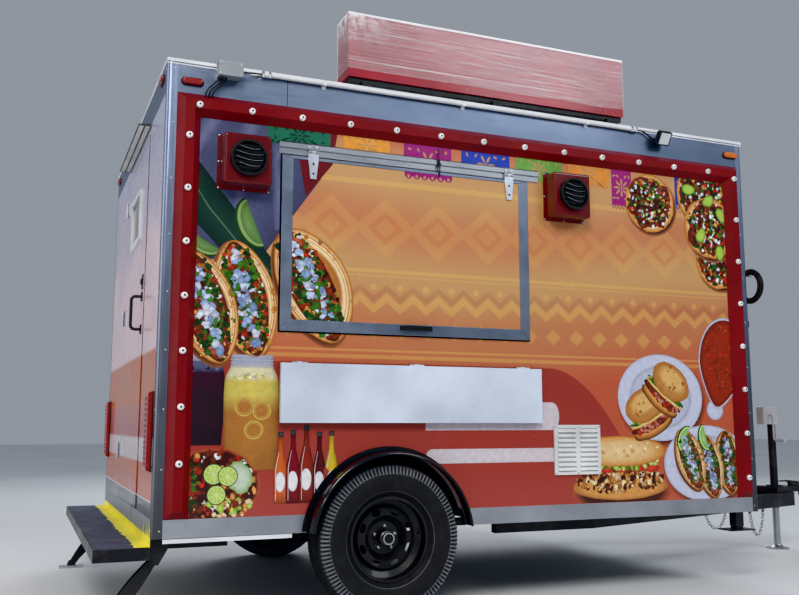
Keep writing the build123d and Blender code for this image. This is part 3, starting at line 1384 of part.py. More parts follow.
nodes["cord_coil"] = cord_coil()
nodes["cord_lead"] = cord_lead()
nodes["cord_plug"] = cord_plug()
save_all()
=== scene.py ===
import bmesh
import bpy
from math import asinh, atan2, cos, cosh, hypot, pi, radians, sin, sinh, sqrt, tau
from mathutils import Matrix, Vector, noise
from random import Random


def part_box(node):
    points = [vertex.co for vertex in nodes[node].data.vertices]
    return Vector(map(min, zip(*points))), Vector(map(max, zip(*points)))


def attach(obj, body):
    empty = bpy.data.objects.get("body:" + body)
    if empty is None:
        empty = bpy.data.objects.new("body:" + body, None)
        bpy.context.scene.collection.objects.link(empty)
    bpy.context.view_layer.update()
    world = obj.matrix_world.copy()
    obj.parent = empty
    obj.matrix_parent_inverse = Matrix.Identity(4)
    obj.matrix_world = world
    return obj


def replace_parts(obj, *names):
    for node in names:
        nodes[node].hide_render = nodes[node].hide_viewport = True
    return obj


# The looks of a single-axle food trailer, in metres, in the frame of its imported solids.
# +X runs forward to the coupler, +Z up, and the serving side faces -Y.

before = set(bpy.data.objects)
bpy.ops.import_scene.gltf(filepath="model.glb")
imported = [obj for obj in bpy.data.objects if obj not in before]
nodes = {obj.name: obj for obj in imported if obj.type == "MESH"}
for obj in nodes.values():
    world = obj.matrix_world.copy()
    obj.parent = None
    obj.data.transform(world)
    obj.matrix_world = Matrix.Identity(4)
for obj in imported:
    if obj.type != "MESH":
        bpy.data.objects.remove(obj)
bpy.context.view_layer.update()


def middle(node):
    low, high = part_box(node)
    return (low + high) / 2


# Places taken from the frame
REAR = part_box("rear_wall")[0].x
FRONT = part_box("front_wall")[1].x
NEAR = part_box("body_rails")[0].y
FAR = -NEAR
SKIRT_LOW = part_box("body_rails")[0].z
SKIRT_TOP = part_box("serving_wall")[0].z
FASCIA_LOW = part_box("serving_wall")[1].z
BODY_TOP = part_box("corner_posts")[1].z
WHEEL_X = middle("tyre_near").x
WHEEL_Z = middle("tyre_near").z
WHEEL_Y = 1.1165
FENDER_RADIUS = 0.447
OUT = Vector((0, -1, 0))
BACK = Vector((-1, 0, 0))

# Camera and stage
CAMERA_PLACE = (-5.427, -5.518, 0.944)
CAMERA_PITCH = 7.90
CAMERA_YAW = 22.51
CAMERA_LENS = 41.0


def settle(thing, **settings):
    for key, value in settings.items():
        setattr(thing, key, value)
    return thing


def add_object(name, data, **settings):
    made = settle(bpy.data.objects.new(name, data), **settings)
    bpy.context.scene.collection.objects.link(made)
    return made


def add_camera():
    data = settle(bpy.data.cameras.new("camera"), lens=CAMERA_LENS, sensor_width=36)
    turn = (radians(90 + CAMERA_PITCH), 0, radians(-CAMERA_YAW))
    bpy.context.scene.camera = add_object("camera", data, location=CAMERA_PLACE, rotation_euler=turn)


def add_light(name, place, size, power, colour):
    """A round lamp aimed at the middle of the trailer."""
    data = settle(bpy.data.lights.new(name, "AREA"), shape="DISK", size=size, energy=power, color=colour)
    aim = Vector((-3.1, 0, 1.4)) - Vector(place)
    add_object(name, data, location=place, rotation_euler=aim.to_track_quat("-Z", "Y").to_euler())


def add_stage():
    world = bpy.data.worlds.new("studio")
    world.use_nodes = True
    background = world.node_tree.nodes["Background"]
    background.inputs["Color"].default_value = (0.82, 0.9, 1.0, 1)
    background.inputs["Strength"].default_value = 0.38
    bpy.context.scene.world = world
    bpy.context.scene.view_settings.view_transform = "Khronos PBR Neutral"
    add_light("key", (-7.5, -8.5, 7.5), 4.0, 600, (1.0, 0.97, 0.93))
    add_light("fill", (2.4, -9.0, 8.8), 5.6, 380, (0.92, 0.96, 1.0))
    add_light("back", (0.5, 8.5, 6.5), 6.0, 320, (0.92, 0.96, 1.0))
    add_light("rear", (-11.5, 0.8, 2.2), 8.0, 230, (1.0, 0.97, 0.98))
    bpy.ops.mesh.primitive_plane_add(size=80, location=(-3, 0, 0))
    floor_plane = bpy.context.object
    floor_plane.name = "studio_floor"
    g = Graph("studio_floor", (0.74, 0.75, 0.76), 0.75)
    g.colour(g.tones(g.noise(0.35, 3), (0.72, 0.73, 0.74), (0.78, 0.79, 0.80)))
    floor_plane.data.materials.append(g.material)


# Materials

def sign(operation):
    return lambda *values: values[0].graph.math(operation, *values)


class Value:
    """A number or colour at each point of a surface. Plain signs turn it into new ones, | into the larger."""

    def __init__(self, graph, socket):
        self.graph = graph
        self.socket = socket

    __add__, __sub__, __mul__ = sign("ADD"), sign("SUBTRACT"), sign("MULTIPLY")
    __truediv__, __abs__, __or__ = sign("DIVIDE"), sign("ABSOLUTE"), sign("MAXIMUM")


class Graph:
    """A node material, built one node for each call, with a principled shader at its end."""

    def __init__(self, name, colour, rough, metal=0.0, coat=0.0):
        self.material = bpy.data.materials.new(name)
        self.material.use_nodes = True
        self.tree = self.material.node_tree
        self.shader = self.tree.nodes["Principled BSDF"]
        self.place = self.made("ShaderNodeTexCoord", "Object", {})
        self.colour(colour)
        self.set("Roughness", rough)
        self.set("Metallic", metal)
        self.set("Coat Weight", coat)
        self.set("Coat Roughness", 0.08)

    def plug(self, socket, value):
        if isinstance(value, Value):
            self.tree.links.new(value.socket, socket)
        elif isinstance(value, tuple) and len(socket.default_value) == 4:
            socket.default_value = (*value, 1)
        else:
            socket.default_value = value

    def made(self, kind, output, values, **settings):
        """The output of a new node, whose inputs are plugged by name or number."""
        node = settle(self.tree.nodes.new(kind), **settings)
        for key, value in values.items():
            self.plug(node.inputs[key], value)
        return Value(self, node.outputs[output])

    def set(self, name, value):
        self.plug(self.shader.inputs[name], value)

    def colour(self, value):
        self.set("Base Color", value)

    def rough(self, pattern, low, high, start=0.3, end=0.7):
        self.set("Roughness", self.spread(pattern, start, end, low, high))

    def bump(self, height, distance, strength):
        values = {"Strength": strength, "Distance": distance, "Height": height}
        self.set("Normal", self.made("ShaderNodeBump", 0, values))

    def axes(self):
        return [self.made("ShaderNodeSeparateXYZ", axis, {0: self.place}) for axis in "XYZ"]

    def noise(self, scale, detail=3, stretch=(1, 1, 1), rough=0.5):
        place = self.made("ShaderNodeVectorMath", 0, {0: self.place, 1: stretch}, operation="MULTIPLY")
        values = {"Vector": place, "Scale": scale, "Detail": detail, "Roughness": rough}
        return self.made("ShaderNodeTexNoise", "Fac", values)

    def math(self, operation, *values, clamp=False):
        return self.made("ShaderNodeMath", 0, dict(enumerate(values)), operation=operation, use_clamp=clamp)

    def spread(self, value, low, high, to_low=0.0, to_high=1.0):
        return self.made("ShaderNodeMapRange", 0, dict(enumerate((value, low, high, to_low, to_high))))

    def ramp(self, factor, stops, smooth=False):
        node = self.tree.nodes.new("ShaderNodeValToRGB")
        node.color_ramp.interpolation = "EASE" if smooth else "LINEAR"
        elements = node.color_ramp.elements
        while len(elements) < len(stops):
            elements.new(0.5)
        for element, (spot, colour) in zip(elements, stops):
            element.position = spot
            element.color = (*colour, 1)
        self.plug(node.inputs[0], factor)
        return Value(self, node.outputs[0])

    def tones(self, factor, dark, light, low=0.3, high=0.7):
        return self.ramp(factor, [(low, dark), (high, light)])

    def mix(self, factor, a, b, blend="MIX"):
        return self.made("ShaderNodeMix", 2, {0: factor, 6: a, 7: b}, data_type="RGBA", blend_type=blend)


def srgb(red, green, blue):
    """A screen colour as the linear light that the shaders work in."""
    return tuple((part / 255 / 12.92) if part < 11 else ((part / 255 + 0.055) / 1.055) ** 2.4
                 for part in (red, green, blue))


def shade(colour, factor):
    return tuple(min(1.0, part * factor) for part in colour)


def painted(name, colour, rough=0.35, coat=0.3, dust=0.12, grain=0.0004):
    """Paint with soft colour drift, dust in patches and a fine orange-peel surface."""
    g = Graph(name, colour, rough, coat=coat)
    drift = g.tones(g.noise(2.6, 4), shade(colour, 0.82), shade(colour, 1.16))
    dusty = g.spread(g.noise(5.5, 6, rough=0.65), 0.52, 0.8, 0.0, dust)
    g.colour(g.mix(dusty, drift, (0.33, 0.31, 0.28)))
    g.rough(g.noise(9.0, 4), rough * 0.8, min(1.0, rough * 1.35), end=0.75)
    g.bump(g.noise(420, 2), grain, 0.35)
    return g.material


def brushed(g, tone, stretch, scratch, dark, rough, depth, strength):
    """Drawn or brushed lines along one axis over a metal's tone."""
    lines = g.noise(90, 4, stretch, 0.7)
    g.colour(g.mix(scratch, tone, g.tones(lines, dark, (1, 1, 1)), "MULTIPLY"))
    g.rough(lines, *rough, 0.25, 0.8)
    g.bump(lines, depth, strength)
    return g.material


def metal(name, colour, rough=0.3, stretch=(1, 1, 1), scratch=0.5, tarnish=0.2):
    """Bare metal with cloudy tarnish."""
    g = Graph(name, colour, rough, 1.0)
    tone = g.tones(g.noise(3.2, 5, rough=0.6), shade(colour, 1 - tarnish), shade(colour, 1.1), 0.25, 0.75)
    return brushed(g, tone, stretch, scratch, (0.72, 0.72, 0.73), (rough * 0.75, rough * 1.6), 0.0003, 0.25)


def plastic(name, colour, rough=0.45, coat=0.0, grain=900):
    g = Graph(name, colour, rough, coat=coat)
    g.colour(g.tones(g.noise(4.0, 4), shade(colour, 0.85), shade(colour, 1.2), high=0.72))
    g.rough(g.noise(12, 3), rough * 0.85, min(1.0, rough * 1.25))
    g.bump(g.noise(grain, 2), 0.0002, 0.3)
    return g.material


def lens(name, colour):
    """A moulded lamp lens with fine upright ribs."""
    g = Graph(name, colour, 0.12, coat=1.0)
    wave = g.made("ShaderNodeTexWave", "Fac", {"Vector": g.place, "Scale": 90}, bands_direction="DIAGONAL")
    g.colour(g.mix(g.spread(wave, 0, 1, 0.0, 0.6), colour, shade(colour, 0.45)))
    g.rough(g.noise(30, 2), 0.08, 0.2)
    g.set("Subsurface Weight", 0.25)
    g.bump(wave, 0.0006, 0.6)
    return g.material


def rail_metal():
    """Mill-finish rails with brushed lines, bright low down and deeper blue-grey round the fascia: a painted highlight
    below, painted shade and a painted sky reflection above.
    """
    g = Graph("aluminium_rail", (0.2, 0.25, 0.34), 0.36, 1.0)
    low = g.tones(g.noise(3.2, 5, rough=0.6), (0.36, 0.38, 0.42), (0.56, 0.58, 0.62), 0.25, 0.75)
    high = g.tones(g.noise(1.4, 4, (1, 1, 3), 0.6), (0.15, 0.19, 0.27), (0.26, 0.31, 0.41), 0.25, 0.75)
    # Painted light: the bright tone below z 0.9 is a painted highlight; the blue-grey above z 1.0 is painted shade and
    # a painted sky reflection.
    tone = g.mix(g.spread(g.axes()[2], 0.9, 1.0), low, high)
    return brushed(g, tone, (0.08, 1, 1), 0.22, (0.74, 0.74, 0.75), (0.32, 0.48), 0.0002, 0.12)


def post_finish():
    """Drawn aluminium posts, darker and greyer towards the ground and bluer higher up, where the blue-grey is a painted
    sky reflection.
    """
    g = Graph("aluminium_post", (0.30, 0.35, 0.47), 0.34, 1.0)
    height = g.spread(g.noise(2.2, 4) * 0.35 + g.axes()[2], 0.5, 2.6)
    # Graded by height: dark grey low down, and a painted sky reflection in blue-grey higher up.
    tone = g.ramp(height, [(0.0, (0.13, 0.13, 0.135)), (0.30, (0.20, 0.21, 0.25)), (1.0, (0.32, 0.38, 0.52))])
    return brushed(g, tone, (1, 1, 0.05), 0.25, (0.74, 0.74, 0.75), (0.28, 0.44), 0.0002, 0.2)


def stabiliser_finish():
    """Black painted legs on bare galvanised feet."""
    g = Graph("stabiliser_black", (0.016, 0.016, 0.018), 0.42, coat=0.2)
    foot = g.spread(g.axes()[2], 0.014, 0.010)
    black = g.tones(g.noise(5, 4), (0.012, 0.012, 0.014), (0.030, 0.030, 0.033))
    bare = g.tones(g.noise(16, 4), (0.42, 0.44, 0.47), (0.62, 0.64, 0.67))
    g.colour(g.mix(foot, black, bare))
    g.set("Metallic", foot * 0.8)
    g.rough(g.noise(9, 4), 0.3, 0.5, end=0.75)
    return g.material


def conduit_finish():
    """A grey moulded box at the rear end of a white pipe."""
    g = Graph("conduit_grey", (0.6, 0.6, 0.6), 0.4, coat=0.2)
    box_grey = g.tones(g.noise(6, 4), (0.24, 0.27, 0.29), (0.30, 0.33, 0.35))
    pipe_white = g.tones(g.noise(6, 4), (0.60, 0.61, 0.63), (0.70, 0.71, 0.73))
    g.colour(g.mix(g.spread(g.axes()[0], REAR + 0.372, REAR + 0.374), box_grey, pipe_white))
    g.rough(g.noise(11, 3), 0.34, 0.5)
    g.bump(g.noise(700, 2), 0.0002, 0.3)
    return g.material


# The printed wrap: a graded field with traditional woven-style bands tone on tone

AMBER = srgb(194, 150, 102)
ORANGE = srgb(186, 120, 84)
RUST = srgb(186, 92, 68)
BRICK = srgb(150, 62, 54)
YELLOW = srgb(226, 184, 100)
LILAC = srgb(172, 174, 198)
PINK = srgb(230, 202, 208)


def saw(value, period):
    """Distance from the middle of each period, from 0 to half the period."""
    return abs(value.graph.math("FRACT", value / period) - 0.5) * period


def within(distance, reach, soft=0.002):
    """1 where the distance is under reach, with a soft edge."""
    return distance.graph.spread(distance, reach - soft, reach + soft, 1.0, 0.0)


def diamond(along, z, height, period):
    """Distance from the middles of a row of diamonds."""
    return saw(along, period) * 0.9 + abs(z - height)


def zigzag(along, z, height, thick, period=0.147, swing=0.060):
    return within(abs(z - (saw(along, period) * (2 * swing / period) + (height - swing / 2))), thick)


def dots(along, z, height, period, radius):
    off, side = z - height, saw(along, period)
    return within(z.graph.math("SQRT", off * off + side * side), radius)


def film(g, printed, depth, edge):
    """The glossy film over the print, and the plain white liner on the wall's inner side."""
    grime = g.spread(g.noise(1.1, 6, rough=0.7), 0.45, 0.85, 0.0, 0.10)
    liner = g.tones(g.noise(3.5, 5), (0.60, 0.61, 0.62), (0.72, 0.73, 0.73))
    outside = within(abs(depth - edge), 0.004, 0.0005)
    g.colour(g.mix(outside, liner, g.mix(grime, printed, (0.30, 0.22, 0.17))))
    g.rough(g.noise(2.4, 5), 0.20, 0.38, end=0.75)
    g.bump(g.noise(6, 2, (1, 1, 0.6)), 0.004, 0.25)
    return g.material


def wrap(name, axis, edge):
    """Printed vinyl for a long side or the front."""
    g = Graph(name, AMBER, 0.28, coat=0.45)
    x, y, z = g.axes()
    along, depth = (x - (REAR + 0.847), y) if axis == "X" else (y, x)
    field = g.ramp(g.spread(z + g.math("SINE", along * 1.9) * 0.08, 0.5, 2.6),
                   [(0.0, RUST), (0.30, RUST), (0.46, ORANGE), (0.60, AMBER), (0.72, shade(ORANGE, 1.05)),
                    (0.84, AMBER), (1.0, RUST)], smooth=True)
    pale = dots(along, z, 1.639, 0.147, 0.018) | zigzag(along, z, 1.556, 0.023)
    pale = pale | within(diamond(along, z, 1.419, 0.152), 0.043, 0.008)
    for height, thick in ((1.724, 0.009), (1.698, 0.003), (1.313, 0.006), (1.281, 0.010), (2.190, 0.014)):
        pale = pale | within(abs(z - height), thick)
    banded = g.mix(pale * 0.34, field, YELLOW)
    reach = diamond(along + 0.161, z, 1.951, 0.298)
    banded = g.mix(within(reach, 0.155, 0.008) * 0.17, banded, YELLOW)
    banded = g.mix((within(reach, 0.090) - within(reach, 0.052)) * 0.30, banded, RUST)
    banded = g.mix(zigzag(along, z, 1.606, 0.016) * 0.22, banded, BRICK)
    ahead = (along - 1.25) | 0.0
    hill = g.spread(z - (ahead * ahead * -1.7 + 1.247), -0.004, 0.004, 1.0, 0.0)
    brick = g.tones(g.spread(z, 0.5, 1.25), shade(BRICK, 1.25), BRICK, 0.0, 1.0)
    return film(g, g.mix(hill, banded, brick), depth, edge)


def rear_wrap(name, edge):
    """Printed vinyl for the rear: pale above, with warm bands low down."""
    g = Graph(name, PINK, 0.28, coat=0.45)
    x, y, z = g.axes()
    cloud = g.ramp(g.noise(1.3, 3) * 0.5 + g.spread(z, 1.2, 2.6, 0.0, 0.6),
                   [(0.25, PINK), (0.5, shade(PINK, 1.02)), (0.66, srgb(188, 176, 196)), (0.85, LILAC)], smooth=True)
    grey, blush = srgb(92, 94, 100), srgb(216, 206, 206)
    low = g.ramp(g.spread(z, 0.5, 2.5),
                 [(0.0, grey), (0.042, grey), (0.044, srgb(196, 92, 62)), (0.125, srgb(204, 116, 74)),
                  (0.13, blush), (0.185, blush), (0.19, srgb(176, 84, 78)), (0.27, srgb(190, 110, 100)),
                  (0.275, srgb(200, 110, 62)), (0.395, srgb(196, 104, 58)), (0.405, PINK), (1.0, PINK)])
    return film(g, g.mix(g.spread(z, 1.30, 1.33), low, cloud), x, edge)


def ink_material():
    """Printed colour carried by the shapes themselves, under the same film."""
    g = Graph("wrap_ink", (0.5, 0.5, 0.5), 0.28, coat=0.45)
    tint = g.made("ShaderNodeAttribute", "Color", {}, attribute_name="ink")
    cloud = g.tones(g.noise(36, 4, rough=0.6), (0.84, 0.84, 0.84), (1.06, 1.05, 1.03))
    g.colour(g.mix(1.0, tint, cloud, "MULTIPLY"))
    g.rough(g.noise(2.4, 5), 0.20, 0.38, end=0.75)
    return g.material


def clear_film():
    """Thin cloudy plastic: nearly clear, white where it folds."""
    g = Graph("stretch_film", (0.92, 0.90, 0.92), 0.12, coat=0.3)
    x, y, z = g.axes()
    low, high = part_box("sign_box")
    cloud = g.spread(z, high.z - 0.012, high.z - 0.004, 0.0, 0.9)
    for scale, detail, stretch, rough, start, end, most in (
            (3.0, 5, (0.35, 1, 44), 0.6, 0.56, 0.72, 0.7), (7.0, 3, (0.2, 1, 60), 0.7, 0.60, 0.72, 0.5),
            (11.0, 2, (0.08, 1, 80), 0.6, 0.54, 0.66, 0.38)):
        cloud = cloud | g.spread(g.noise(scale, detail, stretch, rough), start, end, 0.0, most)
    bunch = g.spread(x, low.x + 0.34, low.x) * g.spread(g.noise(26, 4), 0.35, 0.6, 0.1, 1.0)
    cloud = cloud | bunch * g.spread(z, low.z + 0.15, high.z, 0.0, 0.85)
    cord_line = abs((x - low.x) * -0.10 + (low.z + 0.30) - z)
    cloud = cloud | within(cord_line, 0.002, 0.002) * 0.35
    g.set("Alpha", g.math("MULTIPLY_ADD", cloud, 0.76, 0.16, clamp=True))
    g.colour(g.tones(cloud, (0.80, 0.74, 0.78), (0.95, 0.94, 0.96), 0.0, 0.8))
    g.bump(g.noise(40, 4, (0.2, 1, 3)), 0.002, 0.4)
    return g.material


TYRE_STEPS = 224


def tyre_rubber():
    """Black rubber, with painted highlights: a grey ring and pale stripes where the shoulder's ribs are, and thin pale
    circles on the sidewall.
    """
    g = Graph("tyre_rubber", (0.02, 0.02, 0.022), 0.7)
    x, y, z = g.axes()
    across, up = x - WHEEL_X, z - WHEEL_Z
    reach = g.math("SQRT", across * across + up * up)
    # Painted highlight: a grey ring over the shoulder.
    ring = g.ramp(g.spread(reach, 0.20, 0.38),
                  [(0.0, (0.018, 0.018, 0.020)), (0.66, (0.024, 0.024, 0.026)), (0.70, (0.060, 0.062, 0.068)),
                   (0.86, (0.050, 0.052, 0.058)), (0.93, (0.030, 0.030, 0.032))])
    turn = g.math("FRACT", g.math("ARCTAN2", up, across) * (TYRE_STEPS / 2 / tau))
    # Painted highlight: pale stripes on every other rib.
    rib_highlight = within(abs(turn - 0.5), 0.25, 0.08)
    shoulder = g.spread(reach, 0.318, 0.324) * g.spread(reach, 0.369, 0.363)
    ribbed = g.mix(shoulder, ring, g.mix(rib_highlight, (0.014, 0.014, 0.016), (0.20, 0.21, 0.235)))
    # Painted highlights: thin pale circles on the sidewall's ridges.
    for place in (0.2350, 0.3235, 0.3575):
        ribbed = g.mix(within(abs(reach - place), 0.0012, 0.0006) * 0.8, ribbed, (0.17, 0.18, 0.20))
    worn = g.tones(g.noise(14, 5, rough=0.65), (0.75, 0.75, 0.75), (1.15, 1.13, 1.1))
    g.colour(g.mix(1.0, ribbed, worn, "MULTIPLY"))
    g.rough(g.noise(20, 3), 0.55, 0.8)
    g.bump(g.noise(500, 2), 0.0003, 0.4)
    return g.material


# Mesh helpers

def circle(count):
    return [tau * step / count for step in range(count)]


def arc(u, v, wide, high, degrees):
    return [(u + wide * cos(radians(a)), v + high * sin(radians(a))) for a in degrees]


def spaced(first, last, count):
    return [first + (last - first) * step / (count - 1) for step in range(count)]


def add_piece(name, bm, material, body="trailer", smooth=True, bevel=0.0):
    """A finished piece from a bmesh: placed, shaded, and riding on its body."""
    bmesh.ops.recalc_face_normals(bm, faces=bm.faces)
    mesh = bpy.data.meshes.new(name)
    bm.to_mesh(mesh)
    bm.free()
    piece = add_object(name, mesh)
    for each in material if isinstance(material, list) else [material]:
        mesh.materials.append(each)
    if bevel:
        settle(piece.modifiers.new("rounding", "BEVEL"), width=bevel, segments=2, limit_method="ANGLE",
               harden_normals=True)
    if smooth:
        mesh.shade_smooth()
        mesh.set_sharp_from_angle(angle=radians(35))
    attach(piece, body)
    return piece


def box_into(bm, x0, x1, y0, y1, z0, z1, place=Matrix()):
    made = [bm.verts.new(place @ Vector((x, y, z))) for x in (x0, x1) for y in (y0, y1) for z in (z0, z1)]
    for ring in ((0, 1, 3, 2), (4, 6, 7, 5), (0, 4, 5, 1), (2, 3, 7, 6), (0, 2, 6, 4), (1, 5, 7, 3)):
        bm.faces.new([made[index] for index in ring])


def add_boxes(name, spans, material, body="trailer", bevel=0.0, place=Matrix()):
    """One piece from plain boxes, each given by its two faces on every axis."""
    bm = bmesh.new()
    for span in spans:
        box_into(bm, *span, place)
    add_piece(name, bm, material, body, bevel=bevel)


def skin(bm, rings, around=True, closed=False, material=0):
    """Faces between each ring of vertices and the next, where a ring of one is a tip."""
    pairs = list(zip(rings, rings[1:]))
    if closed:
        pairs.append((rings[-1], rings[0]))
    for lower, upper in pairs:
        count = max(len(lower), len(upper))
        for step in range(count if around else count - 1):
            after = (step + 1) % count
            corners = [lower[step % len(lower)], lower[after % len(lower)],
                       upper[after % len(upper)], upper[step % len(upper)]]
            face = bm.faces.new(list(dict.fromkeys(corners)))
            face.material_index = material


def lathe_into(bm, profile, place, steps=48, closed=False, material=0):
    """A profile of (radius, height) turned about the place's own Z axis."""
    rings = []
    for radius, height in profile:
        turns = circle(steps) if radius > 1e-6 else [0]
        rings.append([bm.verts.new(place @ Vector((radius * cos(turn), radius * sin(turn), height))) for turn in turns])
    skin(bm, rings, closed=closed, material=material)


def facing(origin, normal):
    """A placement at the origin whose Z axis is the normal and whose Y axis leans up."""
    z = Vector(normal).normalized()
    x = Vector((0, 0, 1)).cross(z).normalized()
    return Matrix.Translation(Vector(origin)) @ Matrix((x, z.cross(x), z)).transposed().to_4x4()


def tube_into(bm, points, radius, steps=10, closed=False):
    """A round bar through points, with rings square to the path."""
    spots = [Vector(point) for point in points]
    rings = []
    side = None
    count = len(spots)
    for index, spot in enumerate(spots):
        before = spots[index - 1] if index or closed else spot
        after = spots[(index + 1) % count] if index < count - 1 or closed else spot
        ahead = (after - before).normalized()
        if side is None:
            side = ahead.orthogonal().normalized()
        side = (side - ahead * side.dot(ahead)).normalized()
        other = ahead.cross(side)
        rings.append([bm.verts.new(spot + (side * cos(turn) + other * sin(turn)) * radius) for turn in circle(steps)])
    skin(bm, rings, closed=closed)
    if not closed:
        bm.faces.new(rings[0][::-1])
        bm.faces.new(rings[-1])


def ring_into(bm, place, wide, high, radius, steps=28):
    """A bead round an upright oval of the given outside size."""
    a, b = wide / 2 - radius, high / 2 - radius
    flat = max(a - b, 0)
    path = [place @ Vector((min(a, b) * cos(turn) + (flat if cos(turn) > 0 else -flat), b * sin(turn), 0))
            for turn in circle(steps)]
    tube_into(bm, path, radius, 8, closed=True)


def screws(name, spots, material, slot="zinc", body="trailer", radius=0.0055, height=0.0026):
    """Domed screw heads at (place, way it faces)."""
    profile = [(radius, 0), (radius * 0.98, height * 0.35), (radius * 0.75, height * 0.8), (radius * 0.4, height),
               (0, height)]
    bm = bmesh.new()
    for spot, normal in spots:
        lathe_into(bm, profile, facing(spot, normal), 14)
    add_piece(name, bm, material, body)


def near_screws(name, depth, places, *finish, **size):
    """Screw heads on the serving side at (x, z), seated a depth out from it."""
    screws(name, [((x, NEAR - depth, z), OUT) for x, z in places], *finish, **size)


# Supply cord: gland, lead, loose coil and tail, with x measured from the front wall

CORD_LEAD = ((0.034, -0.980, 1.480), (0.080, -0.980, 1.480), (0.112, -0.986, 1.500), (0.112, -1.010, 1.560),
             (0.088, -1.034, 1.630), (0.064, -1.046, 1.692), (0.062, -1.044, 1.740))
CORD_TAIL = ((0.055, -1.110, 1.698), (0.058, -1.088, 1.682), (0.072, -1.071, 1.668), (0.086, -1.065, 1.645),
             (0.090, -1.067, 1.622), (0.090, -1.067, 1.606))
GLAND_EXIT = (FRONT + 0.034, -0.980, 1.480)
CORD_RADIUS = 0.005
COIL_CENTRE = (0.074, -1.136, 1.797)
COIL_RADIUS = 0.092
COIL_BUNDLE = 0.0142
COIL_TURNS = 7.78
COIL_START = -18
COIL_PHASE = -62
TURN_POINTS = 16


def coil_points():
    """Turns that climb round a bundle, each a cord's width from the next."""
    count = round(COIL_TURNS * TURN_POINTS)
    points = []
    for turns in spaced(0, COIL_TURNS, count + 1):
        angle = radians(COIL_START + 360 * turns)
        phase = radians(COIL_PHASE + 45 * turns)
        sag = 1 + 0.02 * sin(angle + 0.6) - 0.015 * cos(2 * angle)
        radius = (COIL_RADIUS + COIL_BUNDLE * cos(phase)) * sag
        points.append((COIL_CENTRE[0] + COIL_BUNDLE * sin(phase), COIL_CENTRE[1] + radius * cos(angle),
                       COIL_CENTRE[2] + radius * sin(angle)))
    return points


def add_strain_relief(black):
    """A ribbed, tapered sleeve where the supply cord leaves its gland."""
    bm = bmesh.new()
    sleeve = [(0.0052, 0.034), (0.0058, 0.034)]
    for ring in range(7):
        reach = 0.030 - 0.0045 * ring
        radius = 0.0062 + 0.00045 * ring
        sleeve += [(radius, reach), (radius + 0.0009, reach - 0.001), (radius + 0.0009, reach - 0.0028)]
    sleeve += [(0.0098, 0.0), (0.0098, -0.002), (0.0052, -0.002)]
    lathe_into(bm, sleeve, facing(GLAND_EXIT, (1, 0, 0)), 24, closed=True)
    for vert in bm.verts:
        part = max(0.0, vert.co.x - GLAND_EXIT[0]) / 0.085
        vert.co += Vector((0, -0.003, 0.010)) * part * part
    return add_piece("strain_relief", bm, black)


def supply_cord(rubber, relief):
    data = settle(bpy.data.curves.new("supply_cord", "CURVE"), dimensions="3D", bevel_depth=CORD_RADIUS,
                  bevel_resolution=3, resolution_u=6, use_fill_caps=True)
    points = [(FRONT + x, y, z) for x, y, z in (*CORD_LEAD, *coil_points(), *CORD_TAIL)]
    spline = data.splines.new("NURBS")
    spline.points.add(len(points) - 1)
    for point, spot in zip(spline.points, points):
        point.co = (*spot, 1)
    settle(spline, order_u=3, use_endpoint_u=True)
    data.materials.append(rubber)
    cord = add_object("supply_cord", data)
    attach(cord, "trailer")
    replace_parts(cord, "cord_coil", "cord_lead")


# Trim, hatch and wheels

def along_trim(counts, shift, top):
    """Even places (x, z) along the trim's top, rear and front bars, shifted by a part of their pitch."""
    rows = ((REAR + 0.152, top, 0.2574, 0), (REAR + 0.1075, FASCIA_LOW - 0.222, 0, -0.2594),
            (FRONT - 0.1075, FASCIA_LOW - 0.092, 0, -0.26))
    return [(x + dx * (index + shift), z + dz * (index + shift))
            for count, (x, z, dx, dz) in zip(counts, rows) for index in range(count)]


def trim_lamps(white, dark):
    """Ring lamps along the ridge of the red trim."""
    bm = bmesh.new()
    for x, z in along_trim((13, 7, 8), 0, FASCIA_LOW - 0.0655):
        place = facing((x, NEAR - 0.0423, z), OUT)
        lathe_into(bm, [(0.0168, 0), (0.0170, 0.003), (0.0158, 0.009), (0.0130, 0.0135), (0.0095, 0.0158),
                        (0.0062, 0.0160), (0.0050, 0.0148)], place, 22)
        lathe_into(bm, [(0.0050, 0.0148), (0.0030, 0.0158), (0, 0.0162)], place, 22, material=1)
    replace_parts(add_piece("trim_lamps", bm, [white, dark]), "trim_bulbs")


def around_box(low, high):
    return [Vector((x, z)) for x, z in ((low.x, low.z), (high.x, low.z), (high.x, high.z), (low.x, high.z))]


def hatch_members(steel):
    """Four mitred sections with a hair between them."""
    low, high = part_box("hatch_frame")
    outer, inner = around_box(low, high), around_box(*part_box("hatch_panel"))
    bm = bmesh.new()
    for side in range(4):
        after = (side + 1) % 4
        gap = (outer[after] - outer[side]).normalized() * 0.0005
        ring = [outer[side] + gap, outer[after] - gap, inner[after] - gap, inner[side] + gap]
        front, back = ([bm.verts.new((spot.x, y, spot.y)) for spot in ring] for y in (low.y, high.y))
        bm.faces.new(front)
        bm.faces.new(back[::-1])
        skin(bm, [front, back])
    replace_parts(add_piece("hatch_members", bm, steel, "hatch", bevel=0.0018), "hatch_frame")


